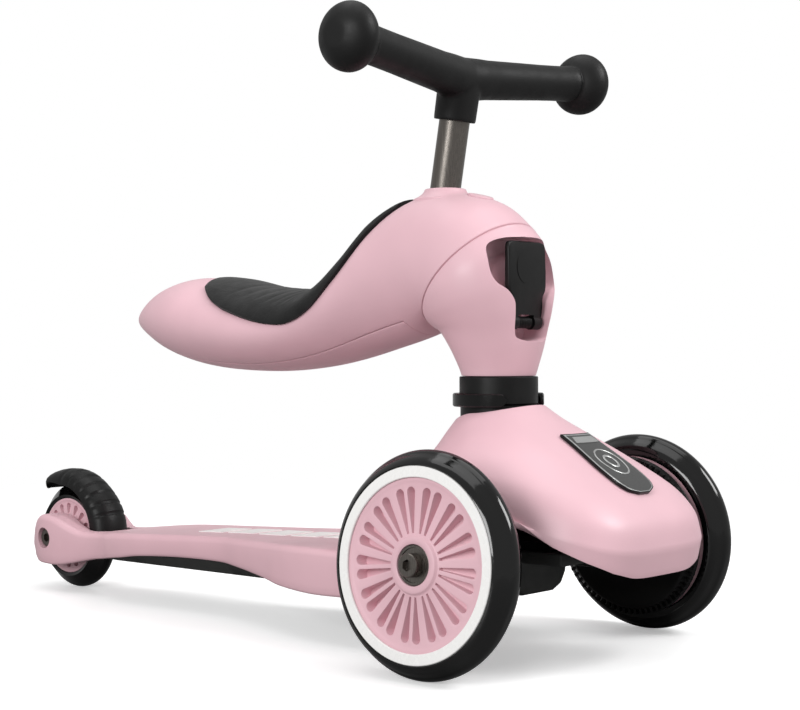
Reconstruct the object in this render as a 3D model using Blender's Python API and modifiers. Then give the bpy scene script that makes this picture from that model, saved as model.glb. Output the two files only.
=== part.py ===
"""Three-wheel kick scooter in its ride-on form, modelled piece by piece.

Metres, +Z up. The scooter faces -Y, the rider's left is +X and the floor is Z = 0.
The origin is on the floor, under the middle of the overall length.
"""

import math

import bmesh
import bpy
from mathutils import Matrix, Vector

MM = 0.001

# Fits
GAP = 0.3 * MM              # between pieces that touch or are pressed together
SLIDING_GAP = 0.4 * MM      # around a piece that slides or turns

# Layout
WHEELBASE = 435.6 * MM
HALF_TRACK = 108.3 * MM     # middle plane of a front wheel at hub height
CAMBER = math.radians(4.4)  # the tops of the front wheels lean inwards
NOSE_OVERHANG = 84.7 * MM   # from the front axle to the tip of the cowl
COLUMN_SETBACK = 33.0 * MM  # from the front axle back to the column

# Front wheels
FRONT_WHEEL_RADIUS = 62.5 * MM
FRONT_WHEEL_HALF_WIDTH = 11.5 * MM
TYRE_CROWN_RADIUS = 6.0 * MM
RIM_RING_OUTER_RADIUS = 53.4 * MM
RIM_RING_INNER_RADIUS = 47.2 * MM
RIM_RING_THICKNESS = 1.3 * MM
FRONT_CORE_RADIUS = 50.0 * MM
CORE_RIM_WALL = 5.7 * MM
CORE_WEB_THICKNESS = 18.6 * MM
HUB_RADIUS = 15.0 * MM
SLOT_PAIRS = 13
SLOT_PAIR_SPREAD = math.radians(11.6)
SLOT_PHASE = math.radians(-7.8)
FRONT_SLOT_START = 17.2 * MM
FRONT_SLOT_END = 42.3 * MM
SLOT_INNER_WIDTH = 1.2 * MM
SLOT_OUTER_WIDTH = 5.4 * MM

# Rear wheel
REAR_WHEEL_RADIUS = 39.7 * MM
REAR_WHEEL_HALF_WIDTH = 12.0 * MM
REAR_CORE_RADIUS = 28.0 * MM
REAR_SLOT_START = 17.0 * MM
REAR_SLOT_END = 25.0 * MM
REAR_SLOT_COUNT = 16

# Bearings and axle bolts
BEARING_RADIUS = 11.0 * MM
BEARING_BORE_RADIUS = 4.0 * MM
BEARING_WIDTH = 7.0 * MM
BEARING_INSET = 0.7 * MM
BOLT_RADIUS = 3.7 * MM
BOLT_HEAD_RADIUS = 6.5 * MM
BOLT_HEAD_HEIGHT = 5.0 * MM
HEX_SOCKET_RADIUS = 3.4 * MM

# Steering
KINGPIN_OFFSET = 66.0 * MM
KINGPIN_RADIUS = 3.85 * MM
KINGPIN_HEAD_RADIUS = 6.0 * MM
KINGPIN_HEAD_HEIGHT = 2.7 * MM
BARREL_RADIUS = 8.0 * MM
BARREL_BOTTOM = 50.0 * MM
BARREL_TOP = 77.0 * MM
EAR_THICKNESS = 4.6 * MM
GUARD_RADIUS = 50.5 * MM
GUARD_OFFSET = 18.5 * MM    # from the wheel's middle plane to the guard's face
GUARD_THICKNESS = 3.0 * MM
ARM_LENGTH = 26.0 * MM
ARM_BOTTOM = 51.0 * MM
ARM_THICKNESS = 7.0 * MM
TIE_ROD_THICKNESS = 5.0 * MM
TIE_ROD_PIN_RADIUS = 2.5 * MM
TIE_ROD_EYE_RADIUS = 6.0 * MM
BEAM_HALF_WIDTH = 48.0 * MM
BEAM_THICKNESS = 7.5 * MM
SPRING_POCKET_FLOOR = 50.0 * MM
SPRING_POCKET_HALF_LENGTH = 24.0 * MM

# Deck
DECK_WALL = 3.2 * MM
DECK_EDGE_RADIUS = 4.5 * MM
TONGUE_HALF_WIDTH = 26.0 * MM
TONGUE_BOTTOM = 40.0 * MM
TONGUE_THICKNESS = 6.0 * MM
COVER_BOTTOM = 29.0 * MM
COVER_WALL = 3.0 * MM
COVER_FLOOR_HALF_WIDTH = 30.0 * MM
WHEEL_SLOT_HALF_WIDTH = 16.0 * MM
WHEEL_SLOT_CLEARANCE = 4.5 * MM
FORK_BOSS_HOLE_RADIUS = 7.4 * MM
FORK_BOSS_HOLE_DEPTH = 8.5 * MM
SCREW_RADIUS = 1.75 * MM
SCREW_HEAD_RADIUS = 4.0 * MM
SCREW_HEAD_HEIGHT = 2.2 * MM
BOSS_RADIUS = 5.0 * MM

# Cowl
COWL_WALL = 3.0 * MM
COWL_NECK_FOOT = 100.0 * MM   # above this the cowl follows the shoulder of the column
BADGE_THICKNESS = 1.8 * MM

# Column
COLUMN_RADIUS = 23.2 * MM
COLUMN_BOTTOM = 76.0 * MM
COLUMN_WALL = 3.2 * MM
SHOULDER_HEIGHT = 146.0 * MM
SPIGOT_RADIUS = 19.0 * MM
COLLAR_RADIUS = 23.75 * MM
COLLAR_HEIGHT = 16.4 * MM
SOCKET_WALL = 3.4 * MM
SOCKET_BOTTOM = 71.0 * MM
SOCKET_TOP = SHOULDER_HEIGHT - 22.0 * MM
FLANGE_THICKNESS = 4.7 * MM
CLIP_WALL = 3.8 * MM
CLIP_HEIGHT = 8.0 * MM
CLIP_BOTTOM = SHOULDER_HEIGHT - 1.3 * MM
CLIP_OPENING = math.radians(85.0)
STEM_FLOOR = 6.0 * MM
SPIGOT_DEPTH = 16.0 * MM    # how far the spigot reaches into the stem shell
NUT_RADIUS = 7.4 * MM
NUT_HEIGHT = 6.5 * MM

# Swivel between the stem and the seat
SWIVEL_SETBACK = 13.4 * MM  # from the column axis back to the swivel's centre
SWIVEL_HEIGHT = SHOULDER_HEIGHT + 77.9 * MM
SEAM_RADIUS = 42.6 * MM
SWIVEL_TILT = math.radians(45.0)
END_PLATE = 4.0 * MM

# Release lever
POCKET_DEPTH = 18.5 * MM
STEM_INNER_WALL = 3.0 * MM
LEVER_HALF_WIDTH = 18.3 * MM
LEVER_FOOT_HALF_WIDTH = 14.8 * MM
LEVER_PIN_HEIGHT = SHOULDER_HEIGHT + 49.0 * MM
LEVER_PIN_SETBACK = 15.4 * MM
LEVER_PIN_RADIUS = 1.8 * MM
LEVER_PIN_HALF_LENGTH = 20.5 * MM
LEVER_EYE_RADIUS = 4.3 * MM
LEVER_SPRING_HALF_LENGTH = 7.0 * MM

# Seat
SEAT_WALL = 3.0 * MM
PAD_DEPTH = 4.5 * MM
PAD_CROWN = 1.2 * MM
PAD_EDGE_DROP = 0.8 * MM
PAD_BED_GAP = 0.4 * MM      # under the pad
PANEL_THICKNESS = 3.0 * MM

# Handlebar and its tube
TUBE_RADIUS = 9.5 * MM
TUBE_WALL = 1.5 * MM
TUBE_LEAN = math.radians(10.2)
TUBE_FOOT_DEPTH = 58.0 * MM
TUBE_EXPOSED = 42.0 * MM
BAR_SETBACK = 74.1 * MM     # from the front axle to the tube where it leaves the seat
BAR_COLLAR_STAND = 3.6 * MM   # above the seat where the tube leaves it
BAR_COLLAR_RADIUS = 12.9 * MM
BAR_COLLAR_FLARE = 7.0 * MM
BAR_SOCKET_RADIUS = 12.5 * MM
HANDLE_HALF_SPAN = 112.9 * MM
HANDLE_RADIUS = 11.5 * MM
HANDLE_RISE = 9.0 * MM
HANDLE_SWEEP = 11.5 * MM
KNOB_RADIUS = 20.5 * MM
KNOB_HALF_WIDTH = 14.0 * MM
HANDLE_SOCKET_RADIUS = 13.0 * MM
HANDLE_SOCKET_DEPTH = 26.0 * MM
BUTTON_RADIUS = 8.0 * MM
BUTTON_DEPTH = 12.0 * MM

# Brake fender
FENDER_HALF_WIDTH = 15.0 * MM
FENDER_TYRE_GAP = 2.6 * MM
FENDER_PIN_RADIUS = 1.9 * MM
FENDER_PIN_HALF_LENGTH = 23.0 * MM
FENDER_EYE_RADIUS = 4.4 * MM
FENDER_PIN_LEAD = 51.0 * MM   # from the rear axle forward to the hinge pin
FENDER_PIN_HEIGHT = 41.5 * MM
FENDER_SPRING_HALF_LENGTH = 6.0 * MM
GROOVE_DEPTH = 1.0 * MM

# Sides of round pieces
WHEEL_SIDES = 32
CORE_SIDES = 26
GUARD_SIDES = 20
BEARING_SIDES = 16
COLUMN_SIDES = 24
SMALL_SIDES = 12

# Places that follow from the sizes
FRONT_AXLE_Y = (NOSE_OVERHANG - WHEELBASE - REAR_WHEEL_RADIUS) / 2
REAR_AXLE_Y = FRONT_AXLE_Y + WHEELBASE
FRONT_AXLE_Z = FRONT_WHEEL_RADIUS * math.cos(CAMBER)
COLUMN_Y = FRONT_AXLE_Y + COLUMN_SETBACK
SWIVEL_CENTRE = Vector((0, COLUMN_Y + SWIVEL_SETBACK, SWIVEL_HEIGHT))
SWIVEL_AXIS = Vector((0, math.sin(SWIVEL_TILT), math.cos(SWIVEL_TILT)))
UPPER_LIFT = SHOULDER_HEIGHT - 146.0 * MM   # carries the stem and the seat
DECK_STRETCH = WHEELBASE / (435.6 * MM)    # lengthens the deck's sections
BAR_POINT = Vector((
    0, FRONT_AXLE_Y + BAR_SETBACK, 274.6 * MM + UPPER_LIFT + BAR_COLLAR_STAND
))
BAR_AXIS = Vector((0, -math.sin(TUBE_LEAN), math.cos(TUBE_LEAN)))

# Stem and seat sections, in millimetres: the top (or front) point and the bottom (or back)
# point, each as distance behind the front axle and height, then the half width.
STEM_SECTIONS = [
    (10.6, 163.0, 55.4, 163.0, 22.2),
    (8.6, 168.8, 57.8, 168.8, 23.5),
    (5.7, 179.3, 63.0, 179.3, 27.2),
    (3.8, 189.3, 69.4, 189.3, 31.2),
    (1.6, 204.7, 72.3, 190.9, 36.1),
    (1.5, 221.4, 74.7, 192.4, 40.6),
    (5.9, 240.4, 76.1, 193.3, 42.8),
]
SEAT_SECTIONS = [
    (33.1, 267.4, 81.7, 190.5, 42.8),
    (58.2, 274.6, 89.7, 187.0, 43.4),
    (86.5, 274.0, 100.8, 183.6, 44.0),
    (109.0, 262.8, 117.9, 179.4, 44.6),
    (125.7, 244.0, 139.9, 174.3, 45.9),
    (140.2, 229.0, 157.9, 170.8, 47.4),
    (154.2, 219.4, 176.0, 168.0, 49.6),
    (168.8, 215.2, 196.2, 165.9, 51.1),
    (192.5, 215.2, 215.2, 165.0, 52.5),
    (225.1, 218.4, 238.1, 165.3, 53.3),
    (255.1, 225.2, 262.0, 166.8, 52.4),
    (285.0, 230.0, 285.0, 170.2, 49.1),
    (311.9, 225.6, 308.2, 176.6, 41.0),
    (333.5, 214.3, 328.7, 186.5, 29.1),
    (345.0, 206.0, 344.2, 194.0, 16.0),
    (350.5, 200.6, 351.0, 198.0, 4.0),
]
# Outline of the seat pad: seat station and half angle in degrees from the top line
PAD_OUTLINE = [
    (3.35, 41.0), (3.6, 50.0), (4.0, 66.0), (4.5, 77.0), (5.2, 83.0), (6.0, 85.0), (7.0, 83.0),
    (8.0, 77.0), (9.0, 69.0), (10.0, 57.0), (10.6, 48.0), (11.1, 34.0), (11.35, 18.0),
]
SEAT_ROOM_STATIONS = (2.5, 3.8, 5, 6, 7, 8, 9.5, 11.5, 13.4)
ROOM_SIDES = 14
PANEL_START = 1.6            # seat station where the underside panel starts
PANEL_END = 12.6
PANEL_HALF_ANGLE = 37.0      # degrees either side of the bottom line
PANEL_SCREW_STATIONS = (8.0, 11.3)
BOSS_STANDOFF = 0.6 * MM     # over the panel's curve
SEAT_SIDE_RADIUS = 25.0 * MM  # least radius of the seat's sides
SOFT_SEAM = 0.6 * MM         # around the pad and the underside panel

# Cowl rings, in millimetres: front and rear reach behind the front axle, half width,
# squareness, then the height at the front, the side and the rear.
COWL_RINGS = [
    (4.2, 60.0, 26.3, 2.0, 146.0, 141.3, 133.0),
    (-8.0, 66.0, 33.0, 2.0, 137.8, 135.6, 124.5),
    (-23.5, 70.0, 40.5, 2.4, 127.6, 129.2, 114.5),
    (-43.0, 80.0, 50.5, 2.8, 115.0, 121.0, 99.0),
    (-64.5, 97.0, 59.5, 3.5, 100.5, 110.2, 83.0),
    (-74.5, 107.0, 63.4, 3.9, 91.5, 104.4, 75.0),
    (-82.0, 116.0, 66.6, 4.0, 81.0, 98.8, 69.0),
    (-84.7, 125.0, 70.1, 4.0, 67.6, 92.6, 63.0),
]
COWL_RIM = (-81.8, 125.0, 71.8, 4.0)
# Height of the cowl's lower edge, as distance behind the front axle and height
COWL_RIM_HEIGHTS = [
    (-82.0, 52.5), (-80.0, 55.6), (-75.0, 60.6), (-63.0, 67.3), (-55.0, 71.2),
    (-45.0, 77.2),
    (-35.0, 84.1),
    (-20.0, 88.0),
    (0.0, 89.8),
    (20.0, 86.4),
    (40.0, 73.8),
    (60.0, 59.6),
    (130.0, 59.2),
]
# Badge outline: ring station down the hood and half width in millimetres
BADGE_OUTLINE = [
    (1.95, 13.6),
    (2.4, 14.2),
    (2.9, 15.6),
    (3.4, 16.8),
    (3.85, 16.0),
    (4.15, 12.8),
    (4.38, 7.8),
]

# Deck sections, in millimetres: half width, top and lower edge
DECK_FRONT_SECTIONS = [      # distance behind the front axle first
    (62.0, 69.5, 58.5, 31.5),
    (104.0, 71.0, 58.5, 30.5),
    (130.0, 68.5, 58.2, 30.0),
    (160.0, 62.3, 57.5, 31.2),
    (180.0, 55.9, 56.7, 33.4),
    (200.0, 49.6, 55.9, 35.2),
    (220.0, 44.4, 55.3, 36.8),
    (240.0, 40.6, 54.8, 38.0),
]
DECK_REAR_SECTIONS = [       # distance ahead of the rear axle first
    (155.6, 40.8, 53.0, 37.8),
    (115.6, 41.6, 51.2, 35.6),
    (95.6, 41.0, 50.2, 33.0),
    (77.0, 37.5, 48.8, 30.6),
    (62.0, 31.0, 47.4, 28.4),
    (48.0, 27.8, 46.2, 26.6),
    (34.0, 28.2, 46.0, 24.0),
    (23.0, 31.2, 50.0, 21.8),
    (12.0, 34.2, 55.0, 20.4),
    (0.0, 34.6, 57.2, 20.6),
    (-9.0, 32.8, 55.4, 21.0),
    (-16.0, 29.4, 50.4, 22.6),
    (-20.0, 27.2, 45.6, 24.4),
    (-23.0, 25.4, 38.6, 27.6),
]
DECK_BOSS_HALF_WIDTH = 34.6 * MM    # across the round bosses of the rear fork
DECK_REAR_SOLID_LEAD = 63.6 * MM    # from the rear axle to where the deck's hollow ends
COVER_SCREW_HALF_SPREAD = 20.0 * MM
COVER_SCREW_FRONT = 112.0 * MM      # behind the front axle
COVER_SCREW_REAR = 100.0 * MM       # ahead of the rear axle

# Outer radius of the fender about the rear axle, in millimetres, by angle up from the front
FENDER_CONTOUR = [
    (4.0, 45.4),
    (18.0, 45.8),
    (46.0, 45.9),
    (59.0, 46.3),
    (70.0, 47.3),
    (80.0, 48.7),
    (90.0, 49.8),
    (100.0, 50.6),
    (110.0, 51.7),
    (118.0, 52.2),
    (124.0, 51.4),
    (129.0, 49.0),
]
FENDER_SKIRT = [             # radius of the fender's side edges, by the same angle
    (4.0, 30.5),
    (45.0, 32.5),
    (67.0, 35.0),
    (88.0, 37.4),
    (100.0, 38.6),
]
FENDER_LIFT_ANGLE = 98.0     # degrees, where the fender's underside leaves the tyre
FENDER_TAIL_THICKNESS = 7.0 * MM
FENDER_WALL = 2.3 * MM

PINK = (0.68, 0.37, 0.40)
COLOURS = {
    "pink": (PINK, 0.0, 0.45),
    "black": ((0.02, 0.02, 0.02), 0.0, 0.5),
    "gloss_black": ((0.012, 0.012, 0.012), 0.0, 0.15),
    "pad": ((0.028, 0.028, 0.03), 0.0, 0.75),
    "white": ((0.85, 0.85, 0.85), 0.0, 0.4),
    "steel": ((0.45, 0.45, 0.44), 1.0, 0.3),
    "spring": ((0.3, 0.3, 0.3), 1.0, 0.4),
}


# Scene helpers

def clear_scene():
    for obj in list(bpy.data.objects):
        bpy.data.objects.remove(obj, do_unlink=True)


def new_collection(name):
    collection = bpy.data.collections.new(name)
    bpy.context.scene.collection.children.link(collection)
    return collection


clear_scene()
SCOOTER = new_collection("three wheel kick scooter")
CUTTERS = new_collection("cutters")


def finish_material(name, kind):
    colour, metallic, roughness = COLOURS[kind]
    material = bpy.data.materials.new(name + " finish")
    material.use_nodes = True
    shader = material.node_tree.nodes["Principled BSDF"]
    shader.inputs["Base Color"].default_value = (*colour, 1)
    shader.inputs["Metallic"].default_value = metallic
    shader.inputs["Roughness"].default_value = roughness
    return material


def add_object(name, mesh, kind):
    """A named object of the scooter, or a hidden cutter when kind is None."""
    obj = bpy.data.objects.new(name, mesh)
    if kind is None:
        CUTTERS.objects.link(obj)
        obj.hide_render = True
        obj.display_type = "WIRE"
    else:
        SCOOTER.objects.link(obj)
        mesh.materials.append(finish_material(name, kind))
        mesh.shade_smooth()
    return obj


def mesh_from(name, bm):
    bmesh.ops.recalc_face_normals(bm, faces=bm.faces)
    mesh = bpy.data.meshes.new(name)
    bm.to_mesh(mesh)
    bm.free()
    return mesh


def turned(name, profile, kind, sides=SMALL_SIDES, closed=False):
    """A profile of (radius, height) points turned about Z. Its outer side runs top to bottom."""
    points = [(radius, 0, height) for radius, height in profile]
    edges = [(i, i + 1) for i in range(len(points) - 1)]
    if closed:
        edges.append((len(points) - 1, 0))
    mesh = bpy.data.meshes.new(name)
    mesh.from_pydata(points, edges, [])
    obj = add_object(name, mesh, kind)
    turn = obj.modifiers.new("Turn", "SCREW")
    turn.steps = sides
    turn.render_steps = sides
    turn.use_merge_vertices = True
    turn.merge_threshold = 0.00001
    return obj


def ring_profile(inner, outer, bottom, top):
    return [(outer, top), (outer, bottom), (inner, bottom), (inner, top)]


def rod(name, radius, start, end, kind, sides=SMALL_SIDES, end_radius=None):
    """A round bar from start to end, tapered if it has an end radius."""
    bm = bmesh.new()
    length = (end - start).length
    bmesh.ops.create_cone(
        bm, cap_ends=True, segments=sides, radius1=radius, radius2=end_radius or radius,
        depth=length,
    )
    turn = (end - start).to_track_quat("Z", "Y").to_matrix().to_4x4()
    bmesh.ops.transform(bm, matrix=Matrix.Translation((start + end) / 2) @ turn, verts=bm.verts)
    return add_object(name, mesh_from(name, bm), kind)


def box(name, low, high, kind):
    bm = bmesh.new()
    bmesh.ops.create_cube(bm, size=1)
    low = Vector(low)
    high = Vector(high)
    bmesh.ops.scale(bm, vec=high - low, verts=bm.verts)
    bmesh.ops.translate(bm, vec=(low + high) / 2, verts=bm.verts)
    return add_object(name, mesh_from(name, bm), kind)


def side_plate(name, outline, left, right, kind):
    """A (y, z) outline extruded along X from left to right."""
    bm = bmesh.new()
    face = bm.faces.new([bm.verts.new((left, y, z)) for y, z in outline])
    grown = bmesh.ops.extrude_face_region(bm, geom=[face])["geom"]
    moved = [item for item in grown if isinstance(item, bmesh.types.BMVert)]
    bmesh.ops.translate(bm, vec=(right - left, 0, 0), verts=moved)
    return add_object(name, mesh_from(name, bm), kind)


def loft(name, rings, kind):
    """A closed solid through rings of points, with flat ends."""
    bm = bmesh.new()
    rows = [[bm.verts.new(point) for point in ring] for ring in rings]
    count = len(rows[0])
    for row, following in zip(rows, rows[1:]):
        for i in range(count):
            j = (i + 1) % count
            bm.faces.new((row[i], row[j], following[j], following[i]))
    bm.faces.new(rows[0])
    bm.faces.new(rows[-1])
    return add_object(name, mesh_from(name, bm), kind)


def patch(name, rows_low, rows_high, kind):
    """A closed solid between two grids of points, its facets alike on the left and right."""
    bm = bmesh.new()
    low = [[bm.verts.new(point) for point in row] for row in rows_low]
    high = [[bm.verts.new(point) for point in row] for row in rows_high]
    last_row = len(low) - 1
    last = len(low[0]) - 1
    for i in range(last_row):
        for j in range(last):
            for grid in (low, high):
                a, b, c, d = grid[i][j], grid[i][j + 1], grid[i + 1][j + 1], grid[i + 1][j]
                if 2 * j < last:
                    bm.faces.new((b, c, d))
                    bm.faces.new((b, d, a))
                else:
                    bm.faces.new((a, b, c))
                    bm.faces.new((a, c, d))
        for j in (0, last):
            bm.faces.new((low[i][j], high[i][j], high[i + 1][j], low[i + 1][j]))
    for j in range(last):
        for i in (0, last_row):
            bm.faces.new((low[i][j], low[i][j + 1], high[i][j + 1], high[i][j]))
    bmesh.ops.triangulate(bm, faces=bm.faces, quad_method="SHORT_EDGE")
    return add_object(name, mesh_from(name, bm), kind)


def boolean(obj, other, operation):
    modifier = obj.modifiers.new(operation.title(), "BOOLEAN")
    modifier.operation = operation
    modifier.object = other
    modifier.solver = "EXACT"


def cut(obj, *others):
    for other in others:
        boolean(obj, other, "DIFFERENCE")


def join(obj, *others):
    for other in others:
        boolean(obj, other, "UNION")


def place(obj, location, axis=Vector((0, 0, 1))):
    """Puts the object's origin at location with its own Z along axis."""
    obj.matrix_world = Matrix.Translation(location) @ axis.to_track_quat("Z", "Y").to_matrix().to_4x4()


def interpolate(table, value):
    """Straight-line reading of a table of (key, value) pairs in rising order of key."""
    if value <= table[0][0]:
        return table[0][1]
    for (key, reading), (next_key, next_reading) in zip(table, table[1:]):
        if value <= next_key:
            return reading + (next_reading - reading) * (value - key) / (next_key - key)
    return table[-1][1]


# Fasteners and bearings

def hex_socket_bolt(name, shank_length, location, axis):
    """Axis points out of the head. The head's underside is at location."""
    profile = [
        (0, BOLT_HEAD_HEIGHT),
        (BOLT_HEAD_RADIUS - 0.6 * MM, BOLT_HEAD_HEIGHT),
        (BOLT_HEAD_RADIUS, BOLT_HEAD_HEIGHT - 0.6 * MM),
        (BOLT_HEAD_RADIUS, 0),
        (BOLT_RADIUS, 0),
        (BOLT_RADIUS, -shank_length),
        (0, -shank_length),
    ]
    bolt = turned(name, profile, "steel")
    place(bolt, location, axis)
    socket = rod(
        name + "_socket",
        HEX_SOCKET_RADIUS,
        location + axis * BOLT_HEAD_HEIGHT * 0.4,
        location + axis * BOLT_HEAD_HEIGHT * 1.5,
        None,
        sides=6,
    )
    cut(bolt, socket)
    return bolt


def screw(name, length, head_point, axis):
    """A small screw whose head's outer face is at head_point; axis points out of the head."""
    profile = [
        (0, 0),
        (SCREW_HEAD_RADIUS, 0),
        (SCREW_RADIUS, -SCREW_HEAD_HEIGHT),
        (SCREW_RADIUS, -length),
        (0, -length),
    ]
    made = turned(name, profile, "steel", sides=12)
    place(made, head_point, axis)
    return made


def screw_hole(name, length, head_point, axis):
    """Cutter for a screw's countersink and shank, open past the head."""
    profile = [
        (0, 2 * MM),
        (SCREW_HEAD_RADIUS + GAP, 2 * MM),
        (SCREW_HEAD_RADIUS + GAP, -GAP),
        (SCREW_RADIUS + GAP, -SCREW_HEAD_HEIGHT - GAP),
        (SCREW_RADIUS + GAP, -length - GAP),
        (0, -length - GAP),
    ]
    made = turned(name, profile, None, sides=12)
    place(made, head_point, axis)
    return made


def hex_nut(name, location, axis):
    """A nut that stands on location, along axis."""
    nut = rod(name, NUT_RADIUS, location, location + axis * NUT_HEIGHT, "steel", sides=6)
    bore = rod(
        name + "_bore",
        BOLT_RADIUS + GAP,
        location - axis * MM,
        location + axis * (NUT_HEIGHT + MM),
        None,
    )
    cut(nut, bore)
    return nut


def bearing(name, centre, axis, offset):
    """A sealed bearing whose middle lies offset along axis from the wheel's centre."""
    half = BEARING_WIDTH / 2
    made = turned(
        name, ring_profile(BEARING_BORE_RADIUS, BEARING_RADIUS, offset - half, offset + half),
        "steel", sides=BEARING_SIDES, closed=True,
    )
    place(made, centre, axis)
    return made


# Wheels

def slot_cutter(name, start, end, angles):
    """Radial slots through a wheel's web, narrow at the hub and round at the rim."""
    bm = bmesh.new()
    round_radius = SLOT_OUTER_WIDTH / 2
    outline = [(start, SLOT_INNER_WIDTH / 2)]
    for step in range(3):
        turn = math.radians(60 - 60 * step)
        outline.append(
            (end - round_radius + round_radius * math.cos(turn), round_radius * math.sin(turn))
        )
    outline.append((start, -SLOT_INNER_WIDTH / 2))
    depth = FRONT_WHEEL_HALF_WIDTH * 2
    for angle in angles:
        direction = Vector((math.cos(angle), math.sin(angle), 0))
        across = Vector((-math.sin(angle), math.cos(angle), 0))
        points = [direction * along + across * aside for along, aside in outline]
        low = [bm.verts.new(point - Vector((0, 0, depth))) for point in points]
        high = [bm.verts.new(point + Vector((0, 0, depth))) for point in points]
        bm.faces.new(low)
        bm.faces.new(high)
        for i in range(len(points)):
            j = (i + 1) % len(points)
            bm.faces.new((low[i], low[j], high[j], high[i]))
    return add_object(name, mesh_from(name, bm), None)


def wheel_core(name, radius, half_width, web, slots, centre, axis):
    hub_half = BEARING_WIDTH * 1.5 + BEARING_INSET
    rim_inner = radius - CORE_RIM_WALL
    bore = BEARING_RADIUS + GAP
    profile = [
        (radius, half_width),
        (radius, -half_width),
        (rim_inner, -half_width),
        (rim_inner - 1.5 * MM, -web / 2),
        (HUB_RADIUS + 1.0 * MM, -web / 2),
        (HUB_RADIUS, -hub_half),
        (bore, -hub_half),
        (bore, hub_half),
        (HUB_RADIUS, hub_half),
        (HUB_RADIUS + 1.0 * MM, web / 2),
        (rim_inner - 1.5 * MM, web / 2),
        (rim_inner, half_width),
    ]
    core = turned(name, profile, "pink", sides=CORE_SIDES, closed=True)
    place(core, centre, axis)
    place(slots, centre, axis)
    cut(core, slots)
    return core


def front_tyre(name, centre, axis):
    """The crown is round and the flanks run straight at 45 degrees to the rim ring."""
    half = FRONT_WHEEL_HALF_WIDTH
    step = RIM_RING_OUTER_RADIUS + GAP
    inner = (FRONT_CORE_RADIUS + GAP) / math.cos(math.pi / WHEEL_SIDES)
    ring_seat = half - RIM_RING_THICKNESS - GAP
    crown_centre = FRONT_WHEEL_RADIUS - TYRE_CROWN_RADIUS
    outer = [(step, half)]
    for degrees in (45, 22.5, 0, -22.5, -45):
        turn = math.radians(degrees)
        outer.append(
            (
                crown_centre + TYRE_CROWN_RADIUS * math.cos(turn),
                TYRE_CROWN_RADIUS * math.sin(turn),
            )
        )
    outer.append((step, -half))
    profile = outer + [(inner, -half), (inner, ring_seat), (step, ring_seat)]
    tyre = turned(name, profile, "gloss_black", sides=WHEEL_SIDES, closed=True)
    place(tyre, centre, axis)
    return tyre


def front_wheel(side, label):
    """Side is -1 for the rider's right and 1 for the left."""
    centre = Vector((side * HALF_TRACK, FRONT_AXLE_Y, FRONT_AXLE_Z))
    axis = Vector((side * math.cos(CAMBER), 0, math.sin(CAMBER)))
    front_tyre(f"front_tyre_{label}", centre, axis)
    pair = 2 * math.pi / SLOT_PAIRS
    angles = [
        SLOT_PHASE + index * pair + half * SLOT_PAIR_SPREAD / 2
        for index in range(SLOT_PAIRS)
        for half in (-1, 1)
    ]
    slots = slot_cutter(f"front_slots_{label}", FRONT_SLOT_START, FRONT_SLOT_END, angles)
    half_width = FRONT_WHEEL_HALF_WIDTH - RIM_RING_THICKNESS - GAP
    wheel_core(
        f"front_wheel_core_{label}", FRONT_CORE_RADIUS, half_width, CORE_WEB_THICKNESS,
        slots, centre, axis,
    )
    ring = turned(
        f"front_rim_ring_{label}",
        ring_profile(
            RIM_RING_INNER_RADIUS, RIM_RING_OUTER_RADIUS,
            FRONT_WHEEL_HALF_WIDTH - RIM_RING_THICKNESS, FRONT_WHEEL_HALF_WIDTH,
        ),
        "white", sides=WHEEL_SIDES, closed=True,
    )
    place(ring, centre, axis)
    bearing(f"front_bearing_outer_{label}", centre, axis, BEARING_WIDTH)
    bearing(f"front_bearing_inner_{label}", centre, axis, -BEARING_WIDTH)
    head_seat = BEARING_WIDTH * 1.5 + GAP
    hex_socket_bolt(
        f"front_axle_bolt_{label}", head_seat + GUARD_OFFSET + 6 * MM,
        centre + axis * head_seat, axis,
    )


def rear_wheel():
    centre = Vector((0, REAR_AXLE_Y, REAR_WHEEL_RADIUS))
    axis = Vector((-1, 0, 0))
    half = REAR_WHEEL_HALF_WIDTH
    inner = (REAR_CORE_RADIUS + GAP) / math.cos(math.pi / WHEEL_SIDES)
    shoulder = REAR_WHEEL_RADIUS - 9.6 * MM
    outer = [(shoulder, half)]
    for degrees in (48, 24, 0, -24, -48):
        turn = math.radians(degrees)
        outer.append(
            (
                REAR_WHEEL_RADIUS - TYRE_CROWN_RADIUS * (1 - math.cos(turn)),
                TYRE_CROWN_RADIUS * math.sin(turn),
            )
        )
    outer.append((shoulder, -half))
    profile = outer + [(inner, -half + MM), (inner, half - MM)]
    tyre = turned("rear_tyre", profile, "gloss_black", sides=WHEEL_SIDES, closed=True)
    place(tyre, centre, axis)
    angles = [2 * math.pi * index / REAR_SLOT_COUNT for index in range(REAR_SLOT_COUNT)]
    slots = slot_cutter("rear_slots", REAR_SLOT_START, REAR_SLOT_END, angles)
    hub_half = BEARING_WIDTH * 1.5 + BEARING_INSET
    bore = BEARING_RADIUS + GAP
    core_profile = [
        (REAR_CORE_RADIUS, half - MM),
        (REAR_CORE_RADIUS, -half + MM),
        (REAR_CORE_RADIUS - 2 * MM, -half + MM),
        (bore, -hub_half),
        (bore, hub_half),
        (REAR_CORE_RADIUS - 2 * MM, half - MM),
    ]
    core = turned("rear_wheel_core", core_profile, "pink", sides=REAR_SLOT_COUNT, closed=True)
    place(core, centre, axis)
    place(slots, centre, axis)
    cut(core, slots)
    bearing("rear_bearing_right", centre, axis, BEARING_WIDTH)
    bearing("rear_bearing_left", centre, axis, -BEARING_WIDTH)


# Steering

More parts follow.
